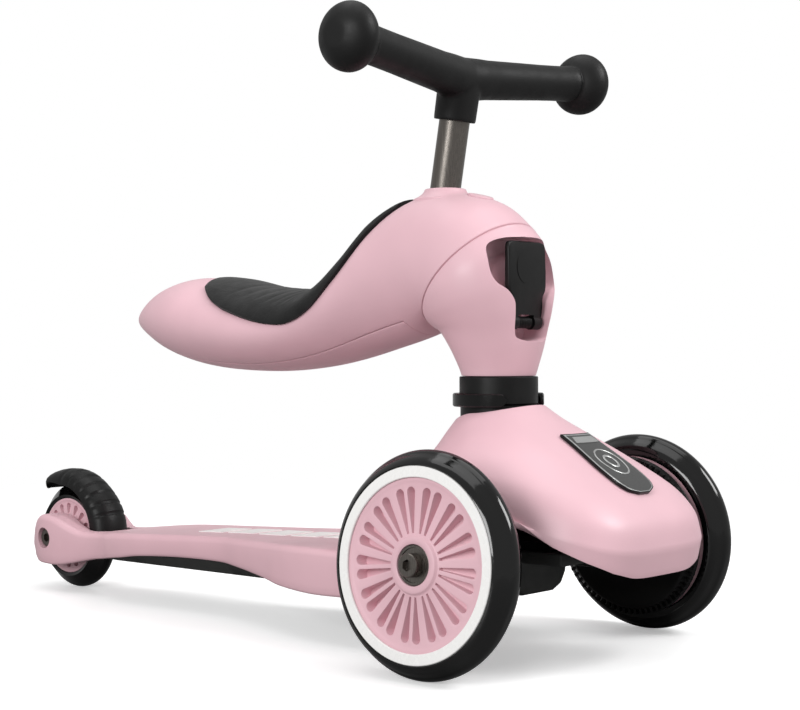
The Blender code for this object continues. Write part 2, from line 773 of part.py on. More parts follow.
def beam_outline():
    """Side outline of the axle beam's plate, under the column socket."""
    behind = FRONT_AXLE_Y
    top = SOCKET_BOTTOM - FLANGE_THICKNESS - GAP
    return [
        (behind - 47 * MM, top - 3.5 * MM),
        (behind - 43 * MM, top - BEAM_THICKNESS),
        (behind + 16 * MM, top - BEAM_THICKNESS),
        (behind + 16 * MM, top),
        (behind - 47 * MM, top),
    ]


def beam_keel(top):
    """The block under the plate that shows below the cowl."""
    right = [(15, 34.5), (23, 38), (27.5, 45), (30, 58)]
    rings = []
    for y in (FRONT_AXLE_Y + 3 * MM, FRONT_AXLE_Y + 16 * MM):
        ring = [Vector((x * MM, y, z * MM)) for x, z in right]
        ring += [Vector((30 * MM, y, top)), Vector((-30 * MM, y, top))]
        rings.append(ring + [Vector((-x * MM, y, z * MM)) for x, z in reversed(right)])
    return loft("beam_keel", rings, None)


def axle_beam():
    half = BEAM_HALF_WIDTH
    beam = side_plate("axle_beam", beam_outline(), -half, half, "black")
    top = SOCKET_BOTTOM - FLANGE_THICKNESS - GAP
    join(beam, beam_keel(top - MM))
    pocket = box(
        "beam_pocket",
        (-SPRING_POCKET_HALF_LENGTH, FRONT_AXLE_Y + 5.4 * MM, SPRING_POCKET_FLOOR),
        (SPRING_POCKET_HALF_LENGTH, FRONT_AXLE_Y + 13.6 * MM, top + 5 * MM),
        None,
    )
    cut(beam, pocket)
    foot = box(
        "beam_foot",
        (-25 * MM, FRONT_AXLE_Y + 14 * MM, TONGUE_BOTTOM + TONGUE_THICKNESS + GAP),
        (25 * MM, FRONT_AXLE_Y + 46 * MM, TONGUE_BOTTOM + TONGUE_THICKNESS + 4 * MM),
        None,
    )
    join(beam, foot)
    lower_top = BARREL_BOTTOM - GAP
    upper_bottom = BARREL_TOP + GAP
    pin_inner = KINGPIN_OFFSET - BARREL_RADIUS - 3 * MM
    for side in (-1, 1):
        cheek = box(
            f"beam_cheek_{side}",
            (min(side * (half - 2 * MM), side * pin_inner), FRONT_AXLE_Y - 11 * MM,
             lower_top - EAR_THICKNESS + 0.6 * MM),
            (max(side * (half - 2 * MM), side * pin_inner), FRONT_AXLE_Y + 11 * MM,
             upper_bottom + EAR_THICKNESS - 0.6 * MM),
            None,
        )
        join(beam, cheek)
        pin_x = side * KINGPIN_OFFSET
        for label, bottom in (("lower", lower_top - EAR_THICKNESS), ("upper", upper_bottom)):
            ear = rod(
                f"beam_ear_{label}_{side}",
                BARREL_RADIUS,
                Vector((pin_x, FRONT_AXLE_Y, bottom)),
                Vector((pin_x, FRONT_AXLE_Y, bottom + EAR_THICKNESS)),
                None,
            )
            inner_x = side * (pin_inner - 2 * MM)
            web = box(
                f"beam_web_{label}_{side}",
                (min(inner_x, pin_x), FRONT_AXLE_Y - BARREL_RADIUS * 0.9, bottom + 0.3 * MM),
                (max(inner_x, pin_x), FRONT_AXLE_Y + BARREL_RADIUS * 0.9,
                 bottom + EAR_THICKNESS - 0.3 * MM),
                None,
            )
            join(beam, ear, web)
    for side in (-1, 1):
        pin_hole = rod(
            f"kingpin_hole_{side}",
            KINGPIN_RADIUS + GAP,
            Vector((side * KINGPIN_OFFSET, FRONT_AXLE_Y, 0)),
            Vector((side * KINGPIN_OFFSET, FRONT_AXLE_Y, 2 * BARREL_TOP)),
            None,
        )
        cut(beam, pin_hole)
    return beam


def kingpin(side, label):
    top = BARREL_TOP + GAP + EAR_THICKNESS + GAP
    bottom = BARREL_BOTTOM - GAP - EAR_THICKNESS
    profile = [
        (0, top + KINGPIN_HEAD_HEIGHT),
        (KINGPIN_HEAD_RADIUS - 0.8 * MM, top + KINGPIN_HEAD_HEIGHT),
        (KINGPIN_HEAD_RADIUS, top + KINGPIN_HEAD_HEIGHT - 0.8 * MM),
        (KINGPIN_HEAD_RADIUS, top),
        (KINGPIN_RADIUS, top),
        (KINGPIN_RADIUS, bottom),
        (0, bottom),
    ]
    pin = turned(f"kingpin_{label}", profile, "steel")
    place(pin, Vector((side * KINGPIN_OFFSET, FRONT_AXLE_Y, 0)))


def knuckle(side, label):
    """Barrel on the kingpin, round guard behind the wheel, and the arm for the tie rod."""
    centre = Vector((side * HALF_TRACK, FRONT_AXLE_Y, FRONT_AXLE_Z))
    axis = Vector((side * math.cos(CAMBER), 0, math.sin(CAMBER)))
    face = -GUARD_OFFSET
    back = face - GUARD_THICKNESS
    boss_top = -BEARING_WIDTH * 1.5 - GAP
    profile = [
        (0, boss_top),
        (6.5 * MM, boss_top),
        (8 * MM, face),
        (GUARD_RADIUS - 8 * MM, face),
        (GUARD_RADIUS - 1.5 * MM, face + 4 * MM),
        (GUARD_RADIUS, face + 3 * MM),
        (GUARD_RADIUS - 6.5 * MM, back),
        (15 * MM, back - 0.5 * MM),
        (13 * MM, back - 6 * MM),
        (0, back - 6 * MM),
    ]
    body = turned(f"steering_knuckle_{label}", profile, "black", sides=GUARD_SIDES)
    place(body, centre, axis)
    pin_x = side * KINGPIN_OFFSET
    barrel = rod(
        f"barrel_{label}", BARREL_RADIUS,
        Vector((pin_x, FRONT_AXLE_Y, BARREL_BOTTOM)),
        Vector((pin_x, FRONT_AXLE_Y, BARREL_TOP)),
        None,
    )
    guard_x = side * (HALF_TRACK - GUARD_OFFSET - GUARD_THICKNESS - 2 * MM)
    link = box(
        f"link_{label}",
        (min(pin_x, guard_x), FRONT_AXLE_Y - 7 * MM, BARREL_TOP - 18 * MM),
        (max(pin_x, guard_x), FRONT_AXLE_Y + 7 * MM, BARREL_TOP - 2 * MM),
        None,
    )
    arm = box(
        f"arm_{label}",
        (pin_x - 4.5 * MM, FRONT_AXLE_Y + BARREL_RADIUS * 0.7, ARM_BOTTOM + 0.5 * MM),
        (pin_x + 4.5 * MM, FRONT_AXLE_Y + ARM_LENGTH, ARM_BOTTOM + ARM_THICKNESS - 0.5 * MM),
        None,
    )
    eye = rod(
        f"arm_eye_{label}", TIE_ROD_EYE_RADIUS,
        Vector((pin_x, FRONT_AXLE_Y + ARM_LENGTH, ARM_BOTTOM)),
        Vector((pin_x, FRONT_AXLE_Y + ARM_LENGTH, ARM_BOTTOM + ARM_THICKNESS)),
        None,
    )
    join(body, barrel, link, arm, eye)
    pin_hole = rod(
        f"barrel_hole_{label}", KINGPIN_RADIUS + GAP,
        Vector((pin_x, FRONT_AXLE_Y, 0)),
        Vector((pin_x, FRONT_AXLE_Y, 2 * BARREL_TOP)),
        None,
    )
    eye_hole = rod(
        f"arm_hole_{label}", TIE_ROD_PIN_RADIUS + GAP,
        Vector((pin_x, FRONT_AXLE_Y + ARM_LENGTH, ARM_BOTTOM - MM)),
        Vector((pin_x, FRONT_AXLE_Y + ARM_LENGTH, ARM_BOTTOM + ARM_THICKNESS + MM)),
        None,
    )
    bolt_hole = rod(
        f"axle_hole_{label}", BOLT_RADIUS + GAP,
        centre + axis * (boss_top + 2 * MM),
        centre - axis * (GUARD_OFFSET + 6.5 * MM),
        None,
    )
    cut(body, pin_hole, eye_hole, bolt_hole)


def tie_rod():
    y = FRONT_AXLE_Y + ARM_LENGTH
    bottom = ARM_BOTTOM + ARM_THICKNESS + GAP
    top = bottom + TIE_ROD_THICKNESS
    bar = box(
        "tie_rod",
        (-KINGPIN_OFFSET, y - 4 * MM, bottom + 0.5 * MM),
        (KINGPIN_OFFSET, y + 4 * MM, top - 0.5 * MM),
        "steel",
    )
    for side, label in ((-1, "right"), (1, "left")):
        end = Vector((side * KINGPIN_OFFSET, y, 0))
        up = Vector((0, 0, 1))
        eye = rod(f"rod_eye_{label}", TIE_ROD_EYE_RADIUS, end + up * bottom, end + up * top, None)
        join(bar, eye)
    for side, label in ((-1, "right"), (1, "left")):
        end = Vector((side * KINGPIN_OFFSET, y, 0))
        hole = rod(
            f"rod_hole_{label}", TIE_ROD_PIN_RADIUS + SLIDING_GAP,
            end + up * (bottom - MM), end + up * (top + MM), None,
        )
        cut(bar, hole)
        profile = [
            (0, top + GAP + 1.5 * MM),
            (TIE_ROD_PIN_RADIUS + 1.5 * MM, top + GAP + 1.5 * MM),
            (TIE_ROD_PIN_RADIUS + 1.5 * MM, top + GAP),
            (TIE_ROD_PIN_RADIUS, top + GAP),
            (TIE_ROD_PIN_RADIUS, ARM_BOTTOM),
            (0, ARM_BOTTOM),
        ]
        pin = turned(f"tie_rod_pin_{label}", profile, "steel", sides=12)
        place(pin, end)


def centring_spring():
    """Lies in the beam's pocket, where it pulls the steering straight."""
    radius = 3.6 * MM
    half = SPRING_POCKET_HALF_LENGTH - GAP
    y = FRONT_AXLE_Y + 9.5 * MM
    spring = turned(
        "centring_spring",
        ring_profile(radius - 1.4 * MM, radius, -half, half),
        "spring", sides=12, closed=True,
    )
    place(spring, Vector((0, y, SPRING_POCKET_FLOOR + radius + GAP)), Vector((1, 0, 0)))


# Deck

def deck_ring(y, half_width, top, lower):
    """Rounded at the top edges, a little narrower at the bottom."""
    r = DECK_EDGE_RADIUS
    half = [
        (0.5 * half_width, top),
        (half_width - r, top),
        (half_width - 0.3 * r, top - 0.3 * r),
        (half_width, top - r),
        (half_width - 1.2 * MM, lower + 1.2 * MM),
        (half_width - 2.4 * MM, lower),
    ]
    left = [Vector((x, y, z)) for x, z in half]
    right = [Vector((-x, y, z)) for x, z in reversed(half)]
    return left + right


def deck_sections():
    sections = [
        (FRONT_AXLE_Y + y * MM * DECK_STRETCH, width * MM, top * MM, lower * MM)
        for y, width, top, lower in DECK_FRONT_SECTIONS
    ]
    sections += [
        (REAR_AXLE_Y - y * MM * DECK_STRETCH, width * MM, top * MM, lower * MM)
        for y, width, top, lower in DECK_REAR_SECTIONS
    ]
    return sections


def deck_reading(y, column):
    return interpolate([(row[0], row[column]) for row in deck_sections()], y)


def cover_screw_places():
    return [
        (side * COVER_SCREW_HALF_SPREAD, y)
        for y in (FRONT_AXLE_Y + COVER_SCREW_FRONT, REAR_AXLE_Y - COVER_SCREW_REAR)
        for side in (-1, 1)
    ]


def deck():
    sections = deck_sections()
    body = loft("deck", [deck_ring(*row) for row in sections], "pink")
    hollow_end = REAR_AXLE_Y - DECK_REAR_SOLID_LEAD
    start = sections[0][0] + DECK_WALL
    stations = [start] + [row[0] for row in sections[1:] if row[0] < hollow_end - 5 * MM]
    stations.append(hollow_end)
    rings = []
    for y in stations:
        half = deck_reading(y, 1) - DECK_WALL
        top = deck_reading(y, 2) - DECK_WALL
        low = COVER_BOTTOM - 20 * MM
        rings.append(
            [
                Vector((half, y, top - 4 * MM)),
                Vector((half, y, low)),
                Vector((-half, y, low)),
                Vector((-half, y, top - 4 * MM)),
                Vector((-half + 4 * MM, y, top)),
                Vector((half - 4 * MM, y, top)),
            ]
        )
    hollow = loft("deck_hollow", rings, None)
    cut(body, hollow)
    tongue = box(
        "deck_tongue",
        (-TONGUE_HALF_WIDTH, FRONT_AXLE_Y + 16 * MM + GAP, TONGUE_BOTTOM),
        (TONGUE_HALF_WIDTH, start - MM, TONGUE_BOTTOM + TONGUE_THICKNESS),
        None,
    )
    pedestal = box(
        "deck_pedestal",
        (-30 * MM, sections[0][0] + 0.5 * MM, 50 * MM),
        (30 * MM, sections[0][0] + 18 * MM, SOCKET_BOTTOM - FLANGE_THICKNESS - GAP),
        None,
    )
    join(body, tongue, pedestal)
    for index, (x, y) in enumerate(cover_screw_places()):
        boss = rod(
            f"deck_boss_{index}", BOSS_RADIUS,
            Vector((x, y, COVER_BOTTOM + COVER_WALL + GAP)),
            Vector((x, y, deck_reading(y, 2) - DECK_WALL / 2)),
            None,
        )
        join(body, boss)
    for index, (x, y) in enumerate(cover_screw_places()):
        hole = screw_hole(f"deck_screw_hole_{index}", 12 * MM, Vector((x, y, COVER_BOTTOM)),
                          Vector((0, 0, -1)))
        cut(body, hole)
    slot_front = REAR_AXLE_Y - REAR_WHEEL_RADIUS - WHEEL_SLOT_CLEARANCE
    wheel_slot = box(
        "wheel_slot",
        (-WHEEL_SLOT_HALF_WIDTH, slot_front, 0),
        (WHEEL_SLOT_HALF_WIDTH, REAR_AXLE_Y + 2 * REAR_WHEEL_RADIUS, 0.1),
        None,
    )
    hinge_slot = box(
        "hinge_slot",
        (-FENDER_HALF_WIDTH - SLIDING_GAP,
         REAR_AXLE_Y - FENDER_PIN_LEAD - FENDER_EYE_RADIUS - SLIDING_GAP,
         FENDER_PIN_HEIGHT - FENDER_EYE_RADIUS - SLIDING_GAP),
        (FENDER_HALF_WIDTH + SLIDING_GAP, slot_front + MM, 0.1),
        None,
    )
    cut(body, wheel_slot, hinge_slot)
    pin_y = REAR_AXLE_Y - FENDER_PIN_LEAD
    pin_hole = rod(
        "fender_pin_hole", FENDER_PIN_RADIUS + GAP,
        Vector((-FENDER_PIN_HALF_LENGTH - GAP, pin_y, FENDER_PIN_HEIGHT)),
        Vector((FENDER_PIN_HALF_LENGTH + GAP, pin_y, FENDER_PIN_HEIGHT)),
        None,
    )
    cut(body, pin_hole)
    face = max(row[1] for row in DECK_REAR_SECTIONS) * MM
    axle = Vector((0, REAR_AXLE_Y, REAR_WHEEL_RADIUS))
    across = Vector((face + 5 * MM, 0, 0))
    for side in (-1, 1):
        inner = Vector((BEARING_WIDTH * 1.5 + GAP, 0, 0)) * side
        outer = Vector((WHEEL_SLOT_HALF_WIDTH + MM, 0, 0)) * side
        spacer = rod(f"fork_spacer_{side}", 6.5 * MM, axle + inner, axle + outer, None)
        join(body, spacer)
    cut(body, rod("axle_hole", BOLT_RADIUS + GAP, axle - across, axle + across, None))
    seat = Vector((DECK_BOSS_HALF_WIDTH - FORK_BOSS_HOLE_DEPTH, 0, 0))
    for side in (-1, 1):
        well = rod(
            f"boss_well_{side}", FORK_BOSS_HOLE_RADIUS + GAP, axle + seat * side,
            axle + across * side, None, sides=16,
        )
        cut(body, well)
    right_seat = axle - seat
    hex_socket_bolt(
        "rear_axle_bolt", 2 * seat.x + NUT_HEIGHT - GAP, right_seat - Vector((GAP, 0, 0)),
        Vector((-1, 0, 0)),
    )
    hex_nut("rear_axle_nut", axle + seat + Vector((GAP, 0, 0)), Vector((1, 0, 0)))


def underside_cover():
    """A shallow tray under the deck, between the deck's flanks."""
    start = FRONT_AXLE_Y + DECK_FRONT_SECTIONS[0][0] * MM + DECK_WALL + GAP
    end = REAR_AXLE_Y - DECK_REAR_SOLID_LEAD - GAP
    middle = [row[0] for row in deck_sections() if start + MM < row[0] < end - MM]
    stations = [start] + middle + [end]
    outer = []
    inner = []
    for y in stations:
        lower = deck_reading(y, 3)
        side = deck_reading(y, 1) - DECK_WALL - GAP
        top = lower + 4 * MM
        floor_half = min(COVER_FLOOR_HALF_WIDTH, side - 4 * MM)
        floor = COVER_BOTTOM
        outer.append(
            [
                Vector((side, y, top)),
                Vector((side, y, lower)),
                Vector((floor_half, y, floor)),
                Vector((-floor_half, y, floor)),
                Vector((-side, y, lower)),
                Vector((-side, y, top)),
            ]
        )
        nudge = 0
        if y == start:
            nudge = COVER_WALL
        elif y == end:
            nudge = -COVER_WALL
        thin = COVER_WALL
        inner.append(
            [
                Vector((side - thin, y + nudge, top + 5 * MM)),
                Vector((side - thin, y + nudge, lower + 0.6 * thin)),
                Vector((floor_half - 0.4 * thin, y + nudge, floor + thin)),
                Vector((-floor_half + 0.4 * thin, y + nudge, floor + thin)),
                Vector((-side + thin, y + nudge, lower + 0.6 * thin)),
                Vector((-side + thin, y + nudge, top + 5 * MM)),
            ]
        )
    cover = loft("underside_cover", outer, "black")
    cut(cover, loft("cover_hollow", inner, None))
    for index, (x, y) in enumerate(cover_screw_places()):
        head = Vector((x, y, COVER_BOTTOM))
        down = Vector((0, 0, -1))
        cut(cover, screw_hole(f"cover_screw_hole_{index}", 12 * MM, head, down))
        screw(f"cover_screw_{index + 1}", 12 * MM, head + Vector((0, 0, GAP)), down)


# Brake fender

def fender_ring(angle, half, crown, skirt):
    """An arched section across the tyre: narrow over the tread, with a skirt down each side."""
    turn = math.radians(angle)
    outward = Vector((0, -math.cos(turn), math.sin(turn)))
    centre = Vector((0, REAR_AXLE_Y, REAR_WHEEL_RADIUS))
    shoulder = max(crown - 10 * MM, skirt + MM)
    side = [
        (half, skirt),
        (half, shoulder),
        (0.84 * half, crown - 4.6 * MM),
        (0.5 * half, crown - 1.5 * MM),
    ]
    section = side + [(0, crown)] + [(-x, radius) for x, radius in reversed(side)]
    return [centre + outward * radius + Vector((x, 0, 0)) for x, radius in section]


def fender():
    """An arch about the rear axle, grooved across its back, on a hinge in the deck."""
    first = FENDER_CONTOUR[0][0]
    last = FENDER_CONTOUR[-1][0]
    first_groove, last_groove = 20, 112     # degrees
    count = 7
    pitch = (last_groove - first_groove) / count
    stations = [(first, 0)]
    for index in range(count):
        base = first_groove + index * pitch
        stations += [(base, 0), (base + 0.6 * pitch, 0), (base + 0.8 * pitch, GROOVE_DEPTH)]
    stations += [(last_groove, 0), (last - 9, 0), (last - 3, 0), (last, 0)]
    rings = []
    for angle, groove in stations:
        crown = interpolate(FENDER_CONTOUR, angle) * MM - groove
        skirt = interpolate(FENDER_SKIRT, angle) * MM
        half = FENDER_HALF_WIDTH
        if angle > FENDER_LIFT_ANGLE:
            share = (angle - FENDER_LIFT_ANGLE) / (last - FENDER_LIFT_ANGLE)
            skirt += (crown - FENDER_TAIL_THICKNESS - skirt) * min(1, 1.4 * share)
            half *= 0.5 + 0.5 * math.sqrt(1 - 0.97 * share ** 3)
        rings.append(fender_ring(angle, half, crown, skirt))
    body = loft("brake_fender", rings, "black")
    inner = REAR_WHEEL_RADIUS + FENDER_TYRE_GAP
    wheel_room = loft(
        "fender_room",
        [
            fender_ring(angle, FENDER_HALF_WIDTH - FENDER_WALL, inner, inner - 20 * MM)
            for angle in range(-20, 111, 13)
        ],
        None,
    )
    pin = Vector((0, REAR_AXLE_Y - FENDER_PIN_LEAD, FENDER_PIN_HEIGHT))
    foot_half = FENDER_HALF_WIDTH - FENDER_WALL
    foot = box(
        "fender_foot",
        (-foot_half, pin.y, pin.z - 0.75 * FENDER_EYE_RADIUS),
        (foot_half, REAR_AXLE_Y - inner - 0.6 * MM, pin.z + 0.8 * FENDER_EYE_RADIUS),
        None,
    )
    eye_half = Vector((foot_half + MM, 0, 0))
    eye = rod("fender_eye", FENDER_EYE_RADIUS, pin - eye_half, pin + eye_half, None)
    cut(body, wheel_room)
    join(body, foot, eye)
    half_gap = FENDER_SPRING_HALF_LENGTH + GAP
    spring_room = rod(
        "fender_spring_room", FENDER_EYE_RADIUS + 1.2 * MM,
        pin - Vector((half_gap, 0, 0)), pin + Vector((half_gap, 0, 0)), None,
    )
    pin_hole = rod(
        "fender_eye_hole", FENDER_PIN_RADIUS + SLIDING_GAP,
        pin - Vector((0.1, 0, 0)), pin + Vector((0.1, 0, 0)), None,
    )
    cut(body, spring_room, pin_hole)
    half = Vector((FENDER_PIN_HALF_LENGTH, 0, 0))
    rod("fender_pin", FENDER_PIN_RADIUS, pin - half, pin + half, "steel")
    spring = turned(
        "fender_spring",
        ring_profile(
            FENDER_PIN_RADIUS + GAP, FENDER_EYE_RADIUS - 0.4 * MM,
            -FENDER_SPRING_HALF_LENGTH, FENDER_SPRING_HALF_LENGTH,
        ),
        "spring", sides=12, closed=True,
    )
    place(spring, pin, Vector((1, 0, 0)))


# Cowl

def cowl_rim_height(y):
    return interpolate(COWL_RIM_HEIGHTS, (y - FRONT_AXLE_Y) / MM) * MM


def cowl_row(station):
    """The ring's seven numbers at a fractional station."""
    index = min(int(station), len(COWL_RINGS) - 2)
    share = station - index
    near = COWL_RINGS[index]
    far = COWL_RINGS[index + 1]
    return [a + (b - a) * share for a, b in zip(near, far)]


def cowl_point(row, angle):
    """Angle 0 is the nose, and positive angles go to the rider's left."""
    front, rear, half_width, squareness = (row[0], row[1], row[2], row[3])
    reach = abs(math.sin(angle)) ** squareness + abs(math.cos(angle)) ** squareness
    across = math.sin(angle) * reach ** (-1 / squareness)
    along = math.cos(angle) * reach ** (-1 / squareness)
    y = (front + rear) / 2 - (rear - front) / 2 * along
    x = half_width * across
    if len(row) == 4:
        return Vector((x * MM, FRONT_AXLE_Y + y * MM, cowl_rim_height(FRONT_AXLE_Y + y * MM)))
    z_front, z_side, z_rear = row[4:]
    z = z_side + (z_front - z_side) * max(along, 0) ** 1.5
    z += (z_rear - z_side) * max(-along, 0) ** 1.5
    z = z * MM
    neck_share = (z - COWL_NECK_FOOT) / (SHOULDER_HEIGHT - UPPER_LIFT - COWL_NECK_FOOT)
    z += UPPER_LIFT * min(max(neck_share, 0), 1)
    return Vector((x * MM, FRONT_AXLE_Y + y * MM, z))


def cowl():
    count = 28
    rows = COWL_RINGS + [COWL_RIM]
    bm = bmesh.new()
    rings = []
    for row in rows:
        rings.append(
            [bm.verts.new(cowl_point(row, 2 * math.pi * i / count)) for i in range(count)]
        )
    for ring, following in zip(rings, rings[1:]):
        for i in range(count):
            j = (i + 1) % count
            bm.faces.new((ring[i], following[i], following[j], ring[j]))
    mesh = bpy.data.meshes.new("front_cowl")
    bm.to_mesh(mesh)
    bm.free()
    shell = add_object("front_cowl", mesh, "pink")
    thickness = shell.modifiers.new("Wall", "SOLIDIFY")
    thickness.thickness = COWL_WALL
    thickness.offset = -1
    return shell


def badge():
    """A bare shield that follows the hood."""
    low = []
    high = []
    columns = 6
    for station, half_width in BADGE_OUTLINE:
        row = cowl_row(station)
        low_row = []
        high_row = []
        for column in range(columns + 1):
            across = half_width * (2 * column / columns - 1) / row[2]
            along = (1 - abs(across) ** row[3]) ** (1 / row[3])
            angle = math.atan2(across, along)
            point = cowl_point(row, angle)
            following = cowl_point(cowl_row(station + 0.1), angle)
            beside = cowl_point(row, angle + 0.02)
            normal = (following - point).cross(beside - point).normalized()
            if normal.z < 0:
                normal = -normal
            low_row.append(point + normal * (GAP + 0.25 * MM))
            high_row.append(point + normal * (GAP + 0.25 * MM + BADGE_THICKNESS))
        low.append(low_row)
        high.append(high_row)
    return patch("badge_plate", low, high, "black")


# Column and its socket

def column_socket():
    inner = COLUMN_RADIUS + SLIDING_GAP
    outer = inner + SOCKET_WALL
    centre = Vector((0, COLUMN_Y, 0))
    socket = turned(
        "column_socket",
        ring_profile(inner, outer, SOCKET_BOTTOM - FLANGE_THICKNESS, SOCKET_TOP),
        "black", sides=COLUMN_SIDES, closed=True,
    )
    place(socket, centre)
    flange = box(
        "socket_flange",
        (-46 * MM, FRONT_AXLE_Y - 38 * MM, SOCKET_BOTTOM - FLANGE_THICKNESS),
        (46 * MM, FRONT_AXLE_Y + 78 * MM, SOCKET_BOTTOM),
        None,
    )
    up = Vector((0, 0, 1))
    bore = rod("socket_bore", inner, centre + up * 0.05, centre + up * 0.2, None, sides=COLUMN_SIDES)
    join(socket, flange)
    cut(socket, bore)


def column():
    """The tube below the shoulder, and the spigot that carries the stem shell."""
    spigot_top = SHOULDER_HEIGHT + COLLAR_HEIGHT + 2 * GAP + SPIGOT_DEPTH - GAP
    bore = SPIGOT_RADIUS - COLUMN_WALL
    cap = spigot_top - 5 * MM
    profile = [
        (BOLT_RADIUS + GAP, spigot_top),
        (SPIGOT_RADIUS, spigot_top),
        (SPIGOT_RADIUS, SHOULDER_HEIGHT),
        (COLUMN_RADIUS, SHOULDER_HEIGHT),
        (COLUMN_RADIUS, COLUMN_BOTTOM),
        (bore, COLUMN_BOTTOM),
        (bore, cap),
        (BOLT_RADIUS + GAP, cap),
    ]
    centre = Vector((0, COLUMN_Y, 0))
    place(turned("stem_column", profile, "black", sides=COLUMN_SIDES, closed=True), centre)
    collar_bottom = SHOULDER_HEIGHT + GAP
    collar = turned(
        "column_collar",
        ring_profile(
            SPIGOT_RADIUS + GAP, COLLAR_RADIUS, collar_bottom, collar_bottom + COLLAR_HEIGHT,
        ),
        "black", sides=COLUMN_SIDES, closed=True,
    )
    place(collar, centre)
    inner = max(COLLAR_RADIUS, COLUMN_RADIUS) + GAP
    clip = turned(
        "lock_clip",
        ring_profile(inner, inner + CLIP_WALL, CLIP_BOTTOM, CLIP_BOTTOM + CLIP_HEIGHT),
        "black", sides=COLUMN_SIDES, closed=True,
    )
    place(clip, centre)
    reach = 50 * MM
    wedge_side = reach * math.tan(CLIP_OPENING / 2)
    opening = loft(
        "clip_wedge",
        [
            [
                Vector((0, COLUMN_Y, z)),
                Vector((-wedge_side, COLUMN_Y - reach, z)),
                Vector((wedge_side, COLUMN_Y - reach, z)),
            ]
            for z in (CLIP_BOTTOM - 5 * MM, CLIP_BOTTOM + CLIP_HEIGHT + 5 * MM)
        ],
        None,
    )
    cut(clip, opening)
    up = Vector((0, 0, 1))
    under_cap = centre + up * (cap - GAP)
    shank = 5 * MM + STEM_FLOOR + NUT_HEIGHT + 2 * GAP
    hex_socket_bolt("stem_bolt", shank, under_cap, -up)
    hex_nut("stem_nut", centre + up * (spigot_top + GAP + STEM_FLOOR + GAP), up)


# Stem and seat sections

def section(row):
    """(top point, bottom point, half width) in metres."""
    top = Vector((0, FRONT_AXLE_Y + row[0] * MM, row[1] * MM + UPPER_LIFT))
    bottom = Vector((0, FRONT_AXLE_Y + row[2] * MM, row[3] * MM + UPPER_LIFT))
    return top, bottom, row[4] * MM


def seam_section(offset, radius=SEAM_RADIUS):
    """The round section in the swivel plane, moved along the swivel axis by offset."""
    forward = Vector((0, -SWIVEL_AXIS.z, SWIVEL_AXIS.y))
    centre = SWIVEL_CENTRE + SWIVEL_AXIS * offset
    return centre + forward * radius, centre - forward * radius, radius


def section_point(part, angle):
    top, bottom, half_width = part
    centre = (top + bottom) / 2
    return centre + (top - bottom) / 2 * math.cos(angle) + Vector((half_width * math.sin(angle), 0, 0))


def section_ring(part, count):
    return [section_point(part, 2 * math.pi * i / count) for i in range(count)]


def shrink(part, wall_top, wall_bottom, wall_side):
    top, bottom, half_width = part
    up = (top - bottom).normalized()
    return top - up * wall_top, bottom + up * wall_bottom, half_width - wall_side


def stem_sections(end_offset):
    return [section(row) for row in STEM_SECTIONS] + [seam_section(end_offset)]


def seat_sections():
    return [seam_section(GAP)] + [section(row) for row in SEAT_SECTIONS]


def seat_point(station, angle, lift=0):
    """A point of the seat's outer surface at a fractional station, lifted along its normal."""
    parts = seat_sections()
    index = min(int(station), len(parts) - 2)
    share = station - index
    near = section_point(parts[index], angle)
    far = section_point(parts[index + 1], angle)
    point = near.lerp(far, share)
    if lift == 0:
        return point
    beside = section_point(parts[index], angle + 0.02).lerp(
        section_point(parts[index + 1], angle + 0.02), share
    )
    normal = (beside - point).cross(far - near).normalized()
    return point + normal * lift


# Stem shell and release lever

def keyhole(name, behind):
    """The window's outline, wide above and narrow below, extruded from the front to behind."""
    half = [
        (6, 245.5), (18, 244.8), (26, 242.5), (30, 238.5), (31.3, 232), (31, 224), (28.5, 218),
        (23, 213.5), (19, 207.5), (17.8, 201), (16.3, 190), (14, 185.5), (6, 183.5),
    ]
    right = [(-x, z) for x, z in reversed(half)]
    bm = bmesh.new()
    front = FRONT_AXLE_Y - 40 * MM
    points = [(x * MM, front, z * MM + UPPER_LIFT) for x, z in half + right]
    face = bm.faces.new([bm.verts.new(point) for point in points])
    grown = bmesh.ops.extrude_face_region(bm, geom=[face])["geom"]
    moved = [item for item in grown if isinstance(item, bmesh.types.BMVert)]
    bmesh.ops.translate(bm, vec=(0, behind - front, 0), verts=moved)
    return add_object(name, mesh_from(name, bm), None)


